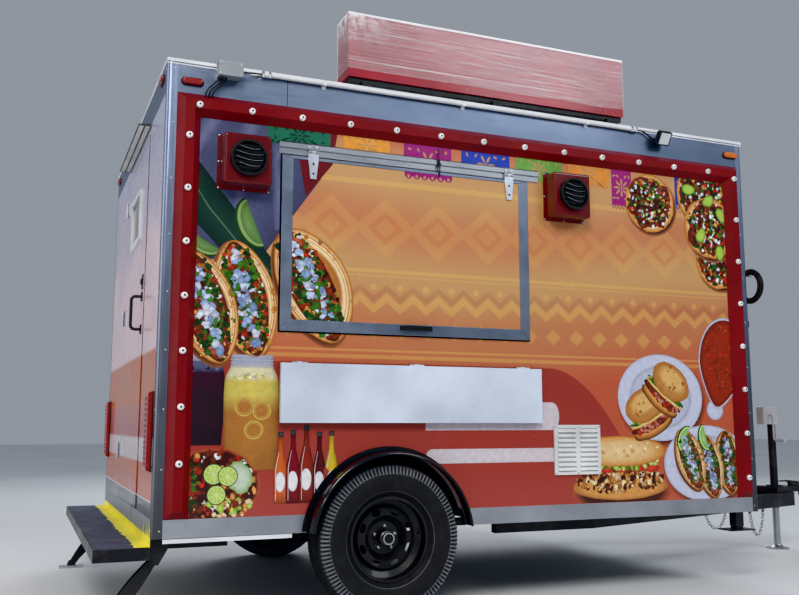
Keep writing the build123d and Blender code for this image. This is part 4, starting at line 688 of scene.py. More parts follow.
# A tyre's side from the bead to the middle of the tread: across, radius and kind of rib
TYRE_SIDE = (
    (0.0827, 0.2003, 0), (0.0827, 0.2120, 0), (0.0905, 0.2190, 0), (0.1005, 0.2300, 0), (0.1042, 0.2325, 0),
    (0.1062, 0.2350, 0), (0.1085, 0.2400, 0), (0.1140, 0.2620, 0), (0.1170, 0.2850, 0), (0.1174, 0.3050, 0),
    (0.1160, 0.3210, 0), (0.1176, 0.3235, 0), (0.1158, 0.3262, 0), (0.1150, 0.3290, 1), (0.1132, 0.3360, 1),
    (0.1108, 0.3450, 1), (0.1085, 0.3545, 1), (0.1082, 0.3575, 0), (0.1066, 0.3600, 0), (0.1020, 0.3665, 1),
    (0.0930, 0.3722, 1), (0.0800, 0.3740, 2), (0.0640, 0.3746, 2), (0.0625, 0.3680, 0), (0.0540, 0.3680, 0),
    (0.0525, 0.3748, 2), (0.0250, 0.3750, 2), (0.0240, 0.3680, 0), (0.0160, 0.3680, 0), (0.0150, 0.3750, 2),
)
SHOULDER, TREAD = 1, 2


def tyre_mesh(end, way, material):
    """A radial tyre: beads, sidewall rings, shoulder ribs and a blocked tread."""
    profile = list(TYRE_SIDE) + [(-y, r, kind) for y, r, kind in TYRE_SIDE[::-1]]
    bm = bmesh.new()
    rings = []
    for step, turn in enumerate(circle(TYRE_STEPS)):
        ring = []
        for y, r, kind in profile:
            if kind == SHOULDER and step % 2:
                y, r = y * (1 - 0.0055 / max(abs(y), 0.02)), r - 0.0022
            elif kind == TREAD and step % 7 == (0 if y > 0 else 3):
                r -= 0.003
            ring.append(bm.verts.new((WHEEL_X + r * cos(turn), way * WHEEL_Y + y, WHEEL_Z + r * sin(turn))))
        rings.append(ring)
    skin(bm, rings, closed=True)
    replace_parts(add_piece(f"tyre_tread_{end}", bm, material, f"wheel_{end}"), f"tyre_{end}")


def wheel_fittings(end, way, zinc, black):
    """Acorn nuts, hub ring, cap and valve on one wheel; way is -1 for the serving side."""
    face_y = way * WHEEL_Y
    out = Vector((0, way, 0))
    bm = bmesh.new()
    for turn in circle(5):
        place = facing((WHEEL_X + 0.05715 * sin(turn), face_y, WHEEL_Z + 0.05715 * cos(turn)), out)
        lathe_into(bm, [(0.0135, 0.0005), (0.0135, 0.003), (0.0124, 0.004), (0.0124, 0.0165)], place, 6)
        lathe_into(bm, [(0.0108, 0.0150), (0.0104, 0.0195), (0.0078, 0.0232), (0.004, 0.0250), (0, 0.0254)], place, 18)
    place = facing((WHEEL_X, face_y, WHEEL_Z), out)
    lathe_into(bm, [(0.0300, 0.0660), (0.0325, 0.0680), (0.0330, 0.0715), (0.0300, 0.0755), (0.0235, 0.0752)],
               place, 36)
    add_piece(f"wheel_nuts_{end}", bm, zinc, f"wheel_{end}")
    bm = bmesh.new()
    lathe_into(bm, [(0.0235, 0.0735), (0.0228, 0.0768), (0.0120, 0.0782), (0, 0.0786)], place, 24)
    valve = [(WHEEL_X + 0.168, face_y + way * y, WHEEL_Z + 0.02) for y in (0.045, 0.062, 0.080, 0.088)]
    tube_into(bm, valve[:3], 0.0042, 10)
    tube_into(bm, valve[2:], 0.0050, 10)
    add_piece(f"wheel_cap_{end}", bm, black, f"wheel_{end}")


# Sign film, chains, roof and deck

def sign_film(clear):
    """Stretch film wound round the sign: long slanting wrinkles, bunched at the rear upper corner."""
    low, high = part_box("sign_box")
    base, top = low.z + 0.045, high.z + 0.004
    corners = [(low.x, low.y), (high.x, low.y), (high.x, high.y), (low.x, high.y)]
    loop = []
    for (x, y), (next_x, next_y) in zip(corners, corners[1:] + corners[:1]):
        pieces = max(2, round(hypot(next_x - x, next_y - y) / 0.022))
        loop += [(x + (next_x - x) * step / pieces, y + (next_y - y) * step / pieces) for step in range(pieces)]
    centre = middle("sign_box")

    def rough(x, y, z):
        return noise.noise(Vector((x, y, z)))

    def way(value, start, end):
        return 1 if value >= end - 1e-6 else -1 if value <= start + 1e-6 else 0
    bm = bmesh.new()
    rings = []
    for z in spaced(base, top, 46):
        ring = []
        for x, y in loop:
            slant = z - base + 0.018 * (x - low.x)
            fold = rough(x * 1.6, y * 2.0, slant * 55) + 0.6 * rough(x * 4, y * 4, slant * 120 + 7)
            bunch = max(0.0, 1 - (x - low.x) / 0.22) * max(0.0, (z - base) / (top - base) - 0.35)
            crumple = bunch * rough(x * 30, y * 30, z * 30)
            lift = 0.003 + 0.0028 * abs(fold) + 0.010 * abs(crumple)
            hem = 0 if rings else 0.010 * rough(x * 3, y * 3, 3)
            ring.append(bm.verts.new((x + way(x, low.x, high.x) * lift, y + way(y, low.y, high.y) * lift, z + hem)))
        rings.append(ring)
    rings.append([bm.verts.new((centre.x + (x - centre.x) * 0.985, centre.y + (y - centre.y) * 0.72,
                                top + 0.003 * rough(x * 9, y * 9, 1))) for x, y in loop])
    skin(bm, rings)
    wound = add_piece("sign_film", bm, clear)


LINK_WIRE = 0.00275
LINK_PITCH = 0.02348
LINK_COUNT = 17
CHAIN_SPAN = 0.184


def chain_spots():
    """Where the links meet: even steps along a catenary between the two eyes."""
    length = LINK_COUNT * LINK_PITCH
    half = CHAIN_SPAN / 2
    low, high = half / 12, half * 50
    for _ in range(60):
        flatness = (low + high) / 2
        if 2 * flatness * sinh(half / flatness) > length:
            low = flatness
        else:
            high = flatness
    top = flatness * cosh(half / flatness) + 0.00806
    across = [flatness * asinh(length * part / flatness) for part in spaced(-0.5, 0.5, LINK_COUNT + 1)]
    return [(x, flatness * cosh(x / flatness) - top) for x in across]


def chain_links(zinc):
    """Round-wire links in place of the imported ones, hung below the tongue's beams."""
    across, run = 0.72, 2.33
    slope = atan2(across, run)
    hang_x, hang_y, hang_z = REAR + 4.452, 0.78 - across * 1.822 / run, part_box("floor_frame")[0].z - 0.112
    bm = bmesh.new()
    spots = chain_spots()
    for way in (-1, 1):
        hang = Matrix.Translation((hang_x, way * hang_y, hang_z)) @ Matrix.Rotation(-way * slope, 4, "Z")
        for index, ((x0, z0), (x1, z1)) in enumerate(zip(spots, spots[1:])):
            lie = Matrix.Translation(((x0 + x1) / 2, 0, (z0 + z1) / 2))
            lie = lie @ Matrix.Rotation(-atan2(z1 - z0, x1 - x0), 4, "Y")
            ring_into(bm, hang @ lie @ Matrix.Rotation(index % 2 * pi / 2, 4, "X"), 0.037, 0.024, LINK_WIRE, 24)
    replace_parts(add_piece("chain_links", bm, zinc), "safety_chains")


def roof_trim(white, sheet):
    """Folded edge strips round the roof and battens over its seams."""
    top = BODY_TOP
    edges = [(x0, x1, NEAR, FAR, top - 0.014, top + 0.003)
             for x0, x1 in ((REAR - 0.004, REAR + 0.014), (FRONT - 0.014, FRONT + 0.004))]
    for y0, y1, lip0, lip1 in ((NEAR - 0.004, NEAR + 0.0055, NEAR - 0.002, NEAR + 0.0055),
                               (FAR - 0.0055, FAR + 0.004, FAR - 0.0055, FAR + 0.002)):
        edges.append((REAR - 0.003, FRONT + 0.003, y0, y1, top - 0.014, top + 0.003))
        edges.append((REAR - 0.002, FRONT + 0.002, lip0, lip1, top - 0.026, top - 0.019))
    add_boxes("roof_edge", edges, white, bevel=0.0012)
    bm = bmesh.new()
    half = FAR - 0.052
    for x in spaced(REAR + 0.60, FRONT - 0.55, 4):
        skin(bm, [[bm.verts.new((x + dx, y, top + 0.030 * (1 - (y / 1.144) ** 2) + dz))
                   for dx, dz in ((-0.022, 0), (-0.018, 0.003), (0.018, 0.003), (0.022, 0))]
                  for y in spaced(-half, half, 21)], around=False)
    add_piece("roof_battens", bm, sheet, smooth=False)


def deck_finish(yellow, grip):
    """Grip sheet on the deck, with a ragged painted stripe along the wall."""
    low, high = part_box("rear_deck")
    add_boxes("deck_grip", [(low.x + 0.012, high.x - 0.052, low.y + 0.012, high.y - 0.012, high.z, high.z + 0.0012)],
              grip, bevel=0.0006)
    dice = Random(19)
    bm = bmesh.new()
    level = high.z + 0.0022
    skin(bm, [[bm.verts.new((x, y, level)) for x in (high.x - 0.055 - 0.018 * dice.random(), high.x)]
              for y in spaced(low.y + 0.01, high.y - 0.01, 90)], around=False)
    foot = SKIRT_LOW + 0.0005
    for y, tall in ((-1.150, 0.070), (-1.105, 0.030), (-1.065, 0.060), (-1.005, 0.022), (-0.94, 0.075), (-0.85, 0.020)):
        bm.faces.new([bm.verts.new((REAR - 0.0008, y + dy, foot + tall * part))
                      for dy, part in ((-0.020, 0), (0.020, 0), (0.004, 1), (-0.003, 1.02))])
    add_piece("deck_stripe", bm, yellow, smooth=False)
    add_boxes("deck_upstand", [(REAR - 0.0030, REAR - 0.0005, low.y + 0.01, high.y - 0.01, high.z, SKIRT_LOW + 0.004)],
              yellow, bevel=0.0006)


# Lamps, vents, door and small fittings

def tail_lamp_faces(bright, black):
    """Rows of moulded dots and a rubber foot on each tail lamp."""
    bm = bmesh.new()
    for middle_y in (-1.07, 1.07):
        for row in range(13):
            for column in (-0.024, 0, 0.024):
                lathe_into(bm, [(0.0085, 0), (0.0075, 0.0015), (0.004, 0.0026), (0, 0.003)],
                           facing((REAR - 0.0280, middle_y + column, 0.757 + 0.0253 * row), BACK), 12)
    add_piece("tail_lamp_dots", bm, bright)
    add_boxes("tail_lamp_feet", [(REAR - 0.006, REAR, y - 0.053, y + 0.053, 0.722, 1.096) for y in (-1.07, 1.07)],
              black, bevel=0.002)


HOODS = ((REAR + 0.383, FASCIA_LOW - 0.325), (REAR + 2.226, FASCIA_LOW - 0.323))
POST_MIDDLE = 0.036
STRAP_MIDDLE = 0.027
HATCH_HINGE_Z = 2.312
MOULDING = (0.584, 0.590)


def wall_screws(zinc, black, red):
    """Screws round the hoods, the louvre and the trim, rivets down the posts and bolts round the fenders."""
    near_screws("hood_screws", 0.003, [(x + dx, z + dz) for x, z in HOODS for dx in (-0.125, 0, 0.125)
                                       for dz in (-0.132, 0, 0.132) if dx or dz], zinc)
    low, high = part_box("louvre_vent")
    near_screws("louvre_screws", 0.010, [(x, z) for x in spaced(low.x + 0.009, high.x - 0.009, 3)
                                         for z in (low.z + 0.009, high.z - 0.009)], zinc, "cream")
    near_screws("trim_screws", 0.042, along_trim((12, 7, 7), 0.5, FASCIA_LOW - 0.0575), red, "red_paint",
                radius=0.004, height=0.0016)
    spots = []
    for z in spaced(0.46, 2.66, 9):
        spots += [((x, y, z), out) for x in (REAR + POST_MIDDLE, FRONT - POST_MIDDLE)
                  for y, out in ((NEAR, OUT), (FAR, -OUT))]
        spots += [((x, y, z), out) for y in (NEAR + POST_MIDDLE, FAR - POST_MIDDLE)
                  for x, out in ((REAR, BACK), (FRONT, -BACK))]
    screws("post_rivets", spots, zinc, "extrusion", radius=0.0045, height=0.0018)
    spots = [((x, y, z), out) for x, z in arc(WHEEL_X, WHEEL_Z, FENDER_RADIUS, FENDER_RADIUS, spaced(14, 166, 9))
             for y, out in ((NEAR - 0.005, OUT), (FAR + 0.005, -OUT))]
    screws("fender_bolts", spots, black, "fender", radius=0.007, height=0.004)


def strap_fittings(chrome, black):
    """Screws and bars at the hatch's straps."""
    low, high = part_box("hatch_straps")
    ends = {"rear": low.x + STRAP_MIDDLE, "front": high.x - STRAP_MIDDLE}
    for end, x in ends.items():
        near_screws(f"strap_screws_{end}", 0.016, [(x, HATCH_HINGE_Z - drop) for drop in (0.062, 0.112)], black, "zinc",
                    "hatch", radius=0.006, height=0.002)
        near_screws(f"header_screws_{end}", 0.016, [(x + dx, HATCH_HINGE_Z + 0.025) for dx in (-0.018, 0.018)], chrome)
    bars = [(x - 0.034, x + 0.034, NEAR - 0.0175, NEAR - 0.0120, HATCH_HINGE_Z + 0.0105, HATCH_HINGE_Z + 0.0215)
            for x in ends.values()]
    add_boxes("strap_bars", bars, chrome, bevel=0.0008)


def fan_wires(chrome):
    """Wire guards over the hoods' fans."""
    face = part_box("vent_caps")[0].y
    bm = bmesh.new()
    for x, z in HOODS:
        for up in (-0.042, -0.014, 0.014, 0.042):
            half = sqrt(0.066 ** 2 - up ** 2)
            tube_into(bm, [(x + part * half, face - 0.0012 - 0.005 * (1 - part * part),
                            z + up + 0.010 * part * part - 0.006 * part) for part in spaced(-1, 1, 13)], 0.0013, 6)
    add_piece("fan_wires", bm, chrome)


def header_tie(black):
    """A cable tie over the hatch's header."""
    bm = bmesh.new()
    x = REAR + 1.441
    band = ((0, 0.003, 2.412), (0, 0.010, 2.385), (0, 0.016, 2.355), (0.001, 0.0165, 2.33), (0.002, 0.0165, 2.300),
            (0.001, 0.0165, 2.262))
    tail = ((-0.010, 0.009, 2.358), (-0.011, 0.0165, 2.345), (-0.010, 0.0165, 2.310), (-0.008, 0.016, 2.285))
    for path, radius in ((band, 0.0038), (tail, 0.0022)):
        tube_into(bm, [(x + dx, NEAR - depth, z) for dx, depth, z in path], radius, 8)
    box_into(bm, x - 0.007, x + 0.007, NEAR - 0.022, NEAR - 0.013, 2.318, 2.332)
    add_piece("header_tie", bm, black)


def conduit_fittings(zinc, chrome, white):
    """Nuts along the pipe, and the junction box's screws and upper edge."""
    bm = bmesh.new()
    for x in (0.466, 0.500, 2.706, 2.738):
        lathe_into(bm, [(0.0112, -0.006), (0.0175, -0.006), (0.0185, 0), (0.0175, 0.006), (0.0112, 0.006)],
                   facing((REAR + x, NEAR - 0.014, FASCIA_LOW + 0.144), (1, 0, 0)), 6, closed=True)
    add_piece("conduit_nuts", bm, chrome)
    near_screws("box_screws", 0.068, [(REAR + x, FASCIA_LOW + z) for x in (0.244, 0.347) for z in (0.102, 0.154)], zinc,
                "conduit")
    add_boxes("box_top_edge", [(REAR + 0.233, REAR + 0.358, NEAR - 0.066, NEAR,
                                FASCIA_LOW + 0.163, FASCIA_LOW + 0.1645)], white)


def lamp_fittings(black, pale_glass):
    """Beads round the marker lamps, and the flood lamp's glass and fins."""
    bm = bmesh.new()
    sides = [((REAR + x, y, FASCIA_LOW + above), out) for x, above in ((0.120, 0.060), (3.458, 0.072))
             for y, out in ((NEAR - 0.002, OUT), (FAR + 0.002, -OUT))]
    for spot, out in sides + [((REAR - 0.002, y, FASCIA_LOW + 0.100), BACK) for y in (-1.04, 1.04)]:
        ring_into(bm, facing(spot, out), 0.112, 0.044, 0.004)
    add_piece("marker_beads", bm, black)
    place = Matrix.Translation((REAR + 2.905, NEAR - 0.058, FASCIA_LOW + 0.100)) @ Matrix.Rotation(radians(32), 4, "X")
    add_boxes("flood_glass", [(-0.034, 0.034, -0.0160, -0.0138, -0.034, 0.034)], pale_glass, bevel=0.0008,
              place=place)
    fins = [(x - 0.0015, x + 0.0015, 0.025, 0.036, -0.032, 0.032) for x in spaced(-0.030, 0.030, 7)]
    add_boxes("flood_fins", fins, black, place=place)


def wall_strips(black, white):
    """A white strip under the skirt, the rear moulding and fascia seams; the white strip is painted light standing in
    for the bright ground seen below the skirt.
    """
    # Painted light: a white strip under the skirt's rear end, in place of the bright ground seen below it.
    painted_light_strip = [(REAR + 0.052, REAR + 0.66, NEAR + 0.003, NEAR + deep, SKIRT_LOW - drop, SKIRT_LOW)
           for deep, drop in ((0.006, 0.022), (0.045, 0.003))]
    rear = [(REAR - 0.004, REAR, y0, y1, *MOULDING) for y0, y1 in ((NEAR + 0.052, -0.606), (0.316, FAR - 0.052))]
    add_boxes("white_mouldings_and_painted_light", painted_light_strip + rear, white, bevel=0.0008)
    seams = [(REAR + 0.5965, REAR + 0.5995, y0, y1, FASCIA_LOW + 0.002, BODY_TOP - 0.026)
             for y0, y1 in ((NEAR - 0.0015, NEAR), (FAR, FAR + 0.0015))]
    add_boxes("fascia_seam", seams, black)


def canopy_panels(pale):
    """Two long pale sheets between the canopy's bars, seen from below."""
    low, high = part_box("door_canopy")
    half = middle("door_canopy").x
    spans = ((low.x + 0.0055, half - 0.0045), (half + 0.0045, high.x - 0.0065))
    sheets = [(x0, x1, low.y + 0.007, high.y - 0.007, low.z + 0.0005, low.z + 0.0025) for x0, x1 in spans]
    add_boxes("canopy_panels", sheets, pale)


def door_furniture(black, white, rubber):
    """A lock plate, a small latch and the gasket's line round the leaf."""
    low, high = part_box("door_leaf")
    add_boxes("door_lock", [(low.x - 0.004, low.x, low.y + 0.020, low.y + 0.070, 1.655, 1.735),
                            (low.x - 0.012, low.x - 0.003, low.y + 0.034, low.y + 0.056, 1.680, 1.710)],
              black, "door", bevel=0.0015)
    add_boxes("door_moulding", [(low.x - 0.004, low.x, low.y + 0.002, high.y - 0.002, *MOULDING)],
              white, "door", bevel=0.0008)
    inner, outer, top = REAR + 0.010, REAR - 0.0025, high.z + 0.005
    sides = [(outer, inner, y, y + 0.0035, SKIRT_TOP + 0.004, top) for y in (low.y - 0.006, high.y + 0.0015)]
    add_boxes("door_gasket", sides + [(outer, inner, low.y - 0.006, high.y + 0.005, high.z + 0.0015, top)],
              rubber, bevel=0.001)


def handle_details(black):
    """Ribs along the hatch handle's grip."""
    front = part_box("hatch_handle")[0].y
    centre = middle("hatch_handle")
    ribs = [(centre.x + x - 0.0022, centre.x + x + 0.0022, front - 0.0012, front + 0.002,
             centre.z - 0.0085, centre.z + 0.0085) for x in spaced(-0.044, 0.044, 9)]
    add_boxes("handle_ribs", ribs, black, "hatch", bevel=0.0008)


# Printed pictures: flat shapes in painter's order, with their colours at the corners

CREAM = srgb(238, 214, 170)
TOAST = srgb(176, 112, 58)
CRUST = srgb(214, 152, 84)
WHITE = srgb(232, 230, 236)
CHINA = srgb(198, 202, 224)
ONION = srgb(226, 236, 240)
LEAF = srgb(70, 120, 44)
DARK_LEAF = srgb(30, 62, 28)
LIME = srgb(168, 200, 84)
RIND = srgb(62, 106, 52)
MEAT = srgb(112, 48, 30)
DARK_MEAT = srgb(62, 26, 20)
TOMATO = srgb(188, 48, 34)
SALSA = srgb(150, 48, 26)
SHADOW = srgb(70, 34, 24)
FILLING = (MEAT, MEAT, DARK_MEAT, SALSA, TOMATO, LEAF, DARK_LEAF, ONION, CRUST)


def fade(inner, outer):
    return [(0, inner), (1, outer)]


def rim(colour, part, edge):
    """One colour as far as a part of the way out, then its edge's."""
    return [(0, colour), (part, colour), (1, edge)]


def swung(u, v, a, b, turn):
    """The spot (a, b) swung about its origin by a turn, then set at (u, v)."""
    c, s = cos(radians(turn)), sin(radians(turn))
    return u + a * c - b * s, v + a * s + b * c


def in_ellipse(dice, u, v, wide, high, turn=0.0):
    angle = dice.uniform(0, tau)
    reach = sqrt(dice.random())
    return swung(u, v, wide * reach * cos(angle), high * reach * sin(angle), turn)


class Print:
    """Shapes drawn in metres along a wall and up it, each a hair further out than the last."""

    def __init__(self):
        self.bm = bmesh.new()
        self.tint = self.bm.verts.layers.float_color.new("ink")

    def at(self, along, up, size=1.0, turn=0.0, layer=0):
        self.origin = (along, up)
        self.lean = (size * cos(radians(turn)), size * sin(radians(turn)))
        self.level = 0.0003 + 0.00035 * layer

    def corner(self, u, v, colour):
        c, s = self.lean
        vert = self.bm.verts.new((self.origin[0] + u * c - v * s, self.level, self.origin[1] + u * s + v * c))
        vert[self.tint] = (*colour, 1)
        return vert

    def fan(self, outline, stops, centre=(0, 0)):
        """A star-shaped outline filled from its centre through (fraction, colour) rings."""
        self.level += 0.000004
        hub = self.corner(*centre, stops[0][1])
        rings = [[hub]]
        for part, colour in stops[1:]:
            rings.append([self.corner(centre[0] + (u - centre[0]) * part, centre[1] + (v - centre[1]) * part, colour)
                          for u, v in outline])
        skin(self.bm, rings)

    def blob(self, u, v, wide, high, stops, turn=0.0, rough=0.0, count=24, seed=0):
        dice = Random(seed)
        outline = []
        for angle in circle(count):
            reach = 1 + rough * (dice.random() - 0.5)
            outline.append(swung(u, v, wide * reach * cos(angle), high * reach * sin(angle), turn))
        self.fan(outline, stops, (u, v))

    def band(self, points, widths, colour, edge=None):
        """A ribbon along points, with its own width at each."""
        self.level += 0.000004
        rows = []
        ends = [points[0], *points, points[-1]]
        for (u, v), width, before, after in zip(points, widths, ends, ends[2:]):
            run = hypot(after[0] - before[0], after[1] - before[1]) or 1
            du, dv = -(after[1] - before[1]) / run * width / 2, (after[0] - before[0]) / run * width / 2
            rows.append([self.corner(u + side * du, v + side * dv, colour if side == 0 else edge or colour)
                         for side in (1, 0, -1)])
        skin(self.bm, rows, around=False)

    def stack(self, rows):
        """Level rows of (height, half width, colour), shaded towards both sides."""
        self.level += 0.000004
        tones = ((-1, 0.62), (-0.84, 0.95), (0, 1.1), (0.84, 0.95), (1, 0.62))
        skin(self.bm, [[self.corner(wide * part, v, shade(colour, tone)) for part, tone in tones]
                       for v, wide, colour in rows], around=False)

    def chips(self, seed, count, area, small, large, palette, pick=in_ellipse):
        """Small ragged pieces strewn over an area."""
        dice = Random(seed)
        base = self.level
        for index in range(count):
            self.level = base + 0.0000014 * (index % 60)
            u, v = pick(dice, *area)
            size = dice.uniform(small, large)
            colour = dice.choice(palette)
            glow = dice.uniform(0.75, 1.3)
            stops = fade(shade(colour, glow * 1.2), shade(colour, glow * 0.7))
            self.blob(u, v, size, size * dice.uniform(0.45, 1), stops,
                      dice.uniform(0, 180), 0.5, dice.choice((5, 6, 7)), dice.random())
        self.level = base + 0.000092


def open_taco(ink, seed, wide=0.17, heap=0.1496):
    """A round tortilla seen from above, heaped in the middle."""
    ink.blob(0.012, -0.014, wide * 1.04, wide * 1.04, rim(SHADOW, 0.9, shade(ORANGE, 0.8)), count=36)
    ink.blob(0, 0, wide, wide, [(0, CREAM), (0.75, shade(CREAM, 0.95)), (0.93, CRUST), (1, TOAST)], rough=0.05,
             count=40, seed=seed)
    ink.chips(seed, 34, (0, 0, wide * 0.92, wide * 0.92), 0.003, 0.009, (TOAST, CRUST, CRUST))
    ink.blob(0, 0, heap, heap, rim(DARK_MEAT, 0.8, MEAT), rough=0.25, count=26, seed=seed)
    ink.chips(seed + 1, 210, (0, 0, heap, heap), 0.006, 0.017, FILLING)
    ink.chips(seed + 2, 34, (0, 0.01, heap * 0.8, heap * 0.7), 0.006, 0.013, (ONION, CHINA, CHINA, LIME))
    ink.chips(seed + 3, 40, (0, 0, heap * 0.85, heap * 0.85), 0.006, 0.015, (LEAF, DARK_LEAF, TOMATO))


def shell_edge(long, far, near):
    """A taco's outline from above: pointed ends, with its own reach on either side."""
    return [(long * cos(a), (far if a < pi else near) * sin(a) * (1 - 0.16 * cos(a) ** 2)) for a in circle(48)]


def on_rim(dice, long, far, near):
    angle = dice.uniform(0, tau)
    reach = dice.uniform(0.80, 0.97)
    return long * reach * cos(angle), (far if angle < pi else near) * reach * sin(angle)


def folded_taco(ink, seed, far=0.165, long=0.31, near=0.160):
    """A folded tortilla seen from above: two shells' edges and the filling between; its mouth lies along u."""
    ink.fan([(u + 0.010, v - 0.014) for u, v in shell_edge(long * 1.03, far * 1.03, near * 1.05)],
            rim(SHADOW, 0.9, shade(ORANGE, 0.6)))
    ink.fan(shell_edge(long, far, near), [(0, CRUST), (0.70, TOAST), (0.78, CREAM), (0.90, shade(CREAM, 0.92)),
                                          (0.96, CRUST), (1, TOAST)])
    ink.chips(seed, 50, (long, far, near), 0.004, 0.015, (TOAST, CRUST, CRUST, srgb(170, 150, 132)), on_rim)
    for part, tone in ((0.985, TOAST), (0.90, shade(TOAST, 0.9)), (0.83, CRUST)):
        edge = shell_edge(long * part, far * part, near * part)
        ink.band(edge + edge[:1], [0.005] * 49, tone)
    ink.fan(shell_edge(long * 0.975, 0.112, 0.112), rim(MEAT, 0.84, SHADOW))
    ink.chips(seed + 1, 300, (0, 0, long * 0.93, 0.106), 0.008, 0.020, FILLING)
    ink.chips(seed + 4, 60, (long * 0.92, 0.100, 0.100), 0.008, 0.020, (SALSA, RUST, MEAT, TOAST), on_rim)
    for side in (-1, 1):
        ink.chips(seed + 5 + side, 60, (0, 0.058 * side, long * 0.84, 0.032), 0.008, 0.020,
                  (LEAF, DARK_LEAF, DARK_LEAF, shade(LEAF, 0.7)))
    ink.chips(seed + 2, 84, (0, 0.004, long * 0.80, 0.044), 0.010, 0.026,
              (srgb(196, 214, 236), CHINA, srgb(150, 172, 210), srgb(128, 150, 190), LEAF))


def lime_slice(ink, u, v, radius):
    ink.blob(u, v, radius, radius, rim(RIND, 0.9, DARK_LEAF), count=28)
    ink.blob(u, v, radius * 0.9, radius * 0.9, fade(srgb(222, 232, 176), srgb(206, 222, 150)), count=28)
    for start in range(4, 364, 40):
        inner, centre = (arc(u, v, radius * part, radius * part, [start + 16])[0] for part in (0.08, 0.42))
        edge = arc(u, v, radius * 0.8, radius * 0.8, range(start, start + 34, 8))
        ink.fan(edge + [inner], fade(srgb(196, 216, 110), LIME), centre)


def lime_wedge(ink, u, v, size, turn, tone=1.0):
    for wide, high, colours in ((1, 0.75, (RIND, DARK_LEAF)),
                                (0.93, 0.62, (srgb(170, 188, 140), shade(srgb(136, 164, 100), tone))),
                                (0.84, 0.50, (shade(srgb(116, 148, 92), tone), shade(srgb(88, 122, 66), tone)))):
        outline = [swung(u, v, a, b, turn) for a, b in arc(0, 0, size * wide, size * high, range(0, 181, 12))]
        ink.fan(outline, fade(*colours), swung(u, v, 0, size * 0.3, turn))


def plate(ink, wide, high):
    ink.blob(0.012, -0.02, wide * 1.05, high * 1.05, rim(SHADOW, 0.88, shade(RUST, 0.9)), count=44)
    ink.blob(0, 0, wide, high, [(0, CHINA), (0.66, shade(CHINA, 0.86)), (0.70, shade(CHINA, 0.66)), (0.76, CHINA),
                                (0.95, CHINA), (1, shade(CHINA, 0.75))], count=48)


def jar(ink, drink, light, froth, wide, seed, high=0.24):
    """A ridged glass jar of a cold drink: froth on top, slices in the middle."""
    glass = shade(CHINA, 0.62)
    ink.stack([(high * v, wide * part, colour) for v, part, colour in (
        (-1, 0.96, shade(drink, 0.8)), (-0.5, 1.03, drink), (0, 1.05, drink), (0.30, 1.05, light),
        (0.52, 1.03, light), (0.64, 0.97, froth), (0.76, 0.84, froth))])
    for u, v in ((-0.030, 0.020), (0.012, -0.075), (0.045, 0.005)):
        ink.blob(u, v, 0.042, 0.040, [(0, shade(drink, 1.05)), (0.82, shade(drink, 1.1)), (0.88, shade(light, 1.2)),
                                      (1, drink)], count=22)
        ink.blob(u, v, 0.030, 0.028, [(0, shade(drink, 1.15)), (0.9, drink), (1, shade(light, 1.1))], count=18)
    ink.stack([(high * 0.76, wide * 0.84, shade(froth, 0.9)), (high * 0.84, wide * 0.80, glass),
               (high, wide * 0.80, glass)])
    for v in (0.79, 0.85, 0.91, 0.97):
        ink.band([(-wide * 0.82, high * v), (wide * 0.82, high * v)], [0.004] * 2, shade(CHINA, 0.9), shade(CHINA, 0.5))
    ink.chips(seed, 30, (0, high * 0.62, wide * 0.8, high * 0.05), 0.005, 0.012, (froth, shade(froth, 1.2), light))


def bottle(ink, u, high, colour):
    side = [(wide * high / 0.35, v * high) for wide, v in (
        (0.030, 0), (0.033, 0.02), (0.033, 0.50), (0.026, 0.60), (0.014, 0.74), (0.011, 0.90), (0.013, 0.94))]
    outline = [(u + wide, v) for wide, v in side] + [(u - wide, v) for wide, v in side[::-1]]
    ink.fan(outline, [(0, shade(colour, 1.3)), (0.7, colour), (1, shade(colour, 0.45))], (u, 0.4 * high))
    ink.fan([(u + du, v * high) for du, v in ((-0.014, 0.93), (0.014, 0.93), (0.013, 1), (-0.013, 1))],
            fade(srgb(84, 88, 96), srgb(44, 46, 52)), (u, 0.965 * high))
    ink.blob(u, 0.30 * high, 0.072 * high, 0.14 * high, rim(WHITE, 0.85, CHINA), count=18)
    ink.band([(u + du, v * high) for du, v in ((-0.022, 0.04), (-0.023, 0.48), (-0.008, 0.72))], [0.004, 0.006, 0.003],
             WHITE, colour)


def roll(ink, seed, long=0.32, deep=0.130):
    """A filled long roll: bread above and below, salad and meat between."""
    ink.blob(0.01, -deep * 1.1, long * 1.04, deep * 0.95, rim(SHADOW, 0.8, shade(RUST, 0.9)), count=36)
    ink.blob(0, -deep * 0.88, long, deep * 0.56, rim(CRUST, 0.8, TOAST), rough=0.05, count=34, seed=seed)
    ink.chips(seed + 4, 230, (0, -deep * 0.62, long * 0.93, deep * 0.50), 0.008, 0.020,
              (MEAT, DARK_MEAT, CRUST, TOAST, CREAM))
    for u in spaced(-0.62, 0.66, 5):
        ink.blob(long * u, -deep * 0.12, 0.052, 0.022, [(0, srgb(214, 84, 60)), (0.8, TOMATO), (1, shade(TOMATO, 0.6))])
    ink.chips(seed, 70, (0, deep * 0.1, long * 0.86, deep * 0.24), 0.014, 0.030, (LIME, LEAF, srgb(206, 222, 130)))
    ink.blob(0, deep * 0.62, long, deep * 0.66, [(0, srgb(236, 206, 158)), (0.6, srgb(224, 186, 132)), (0.88, CRUST),
                                                 (1, TOAST)], rough=0.04, count=38, seed=seed + 1)
    ink.chips(seed + 2, 20, (0, deep * 0.75, long * 0.8, deep * 0.4), 0.006, 0.016, (CREAM, CRUST))


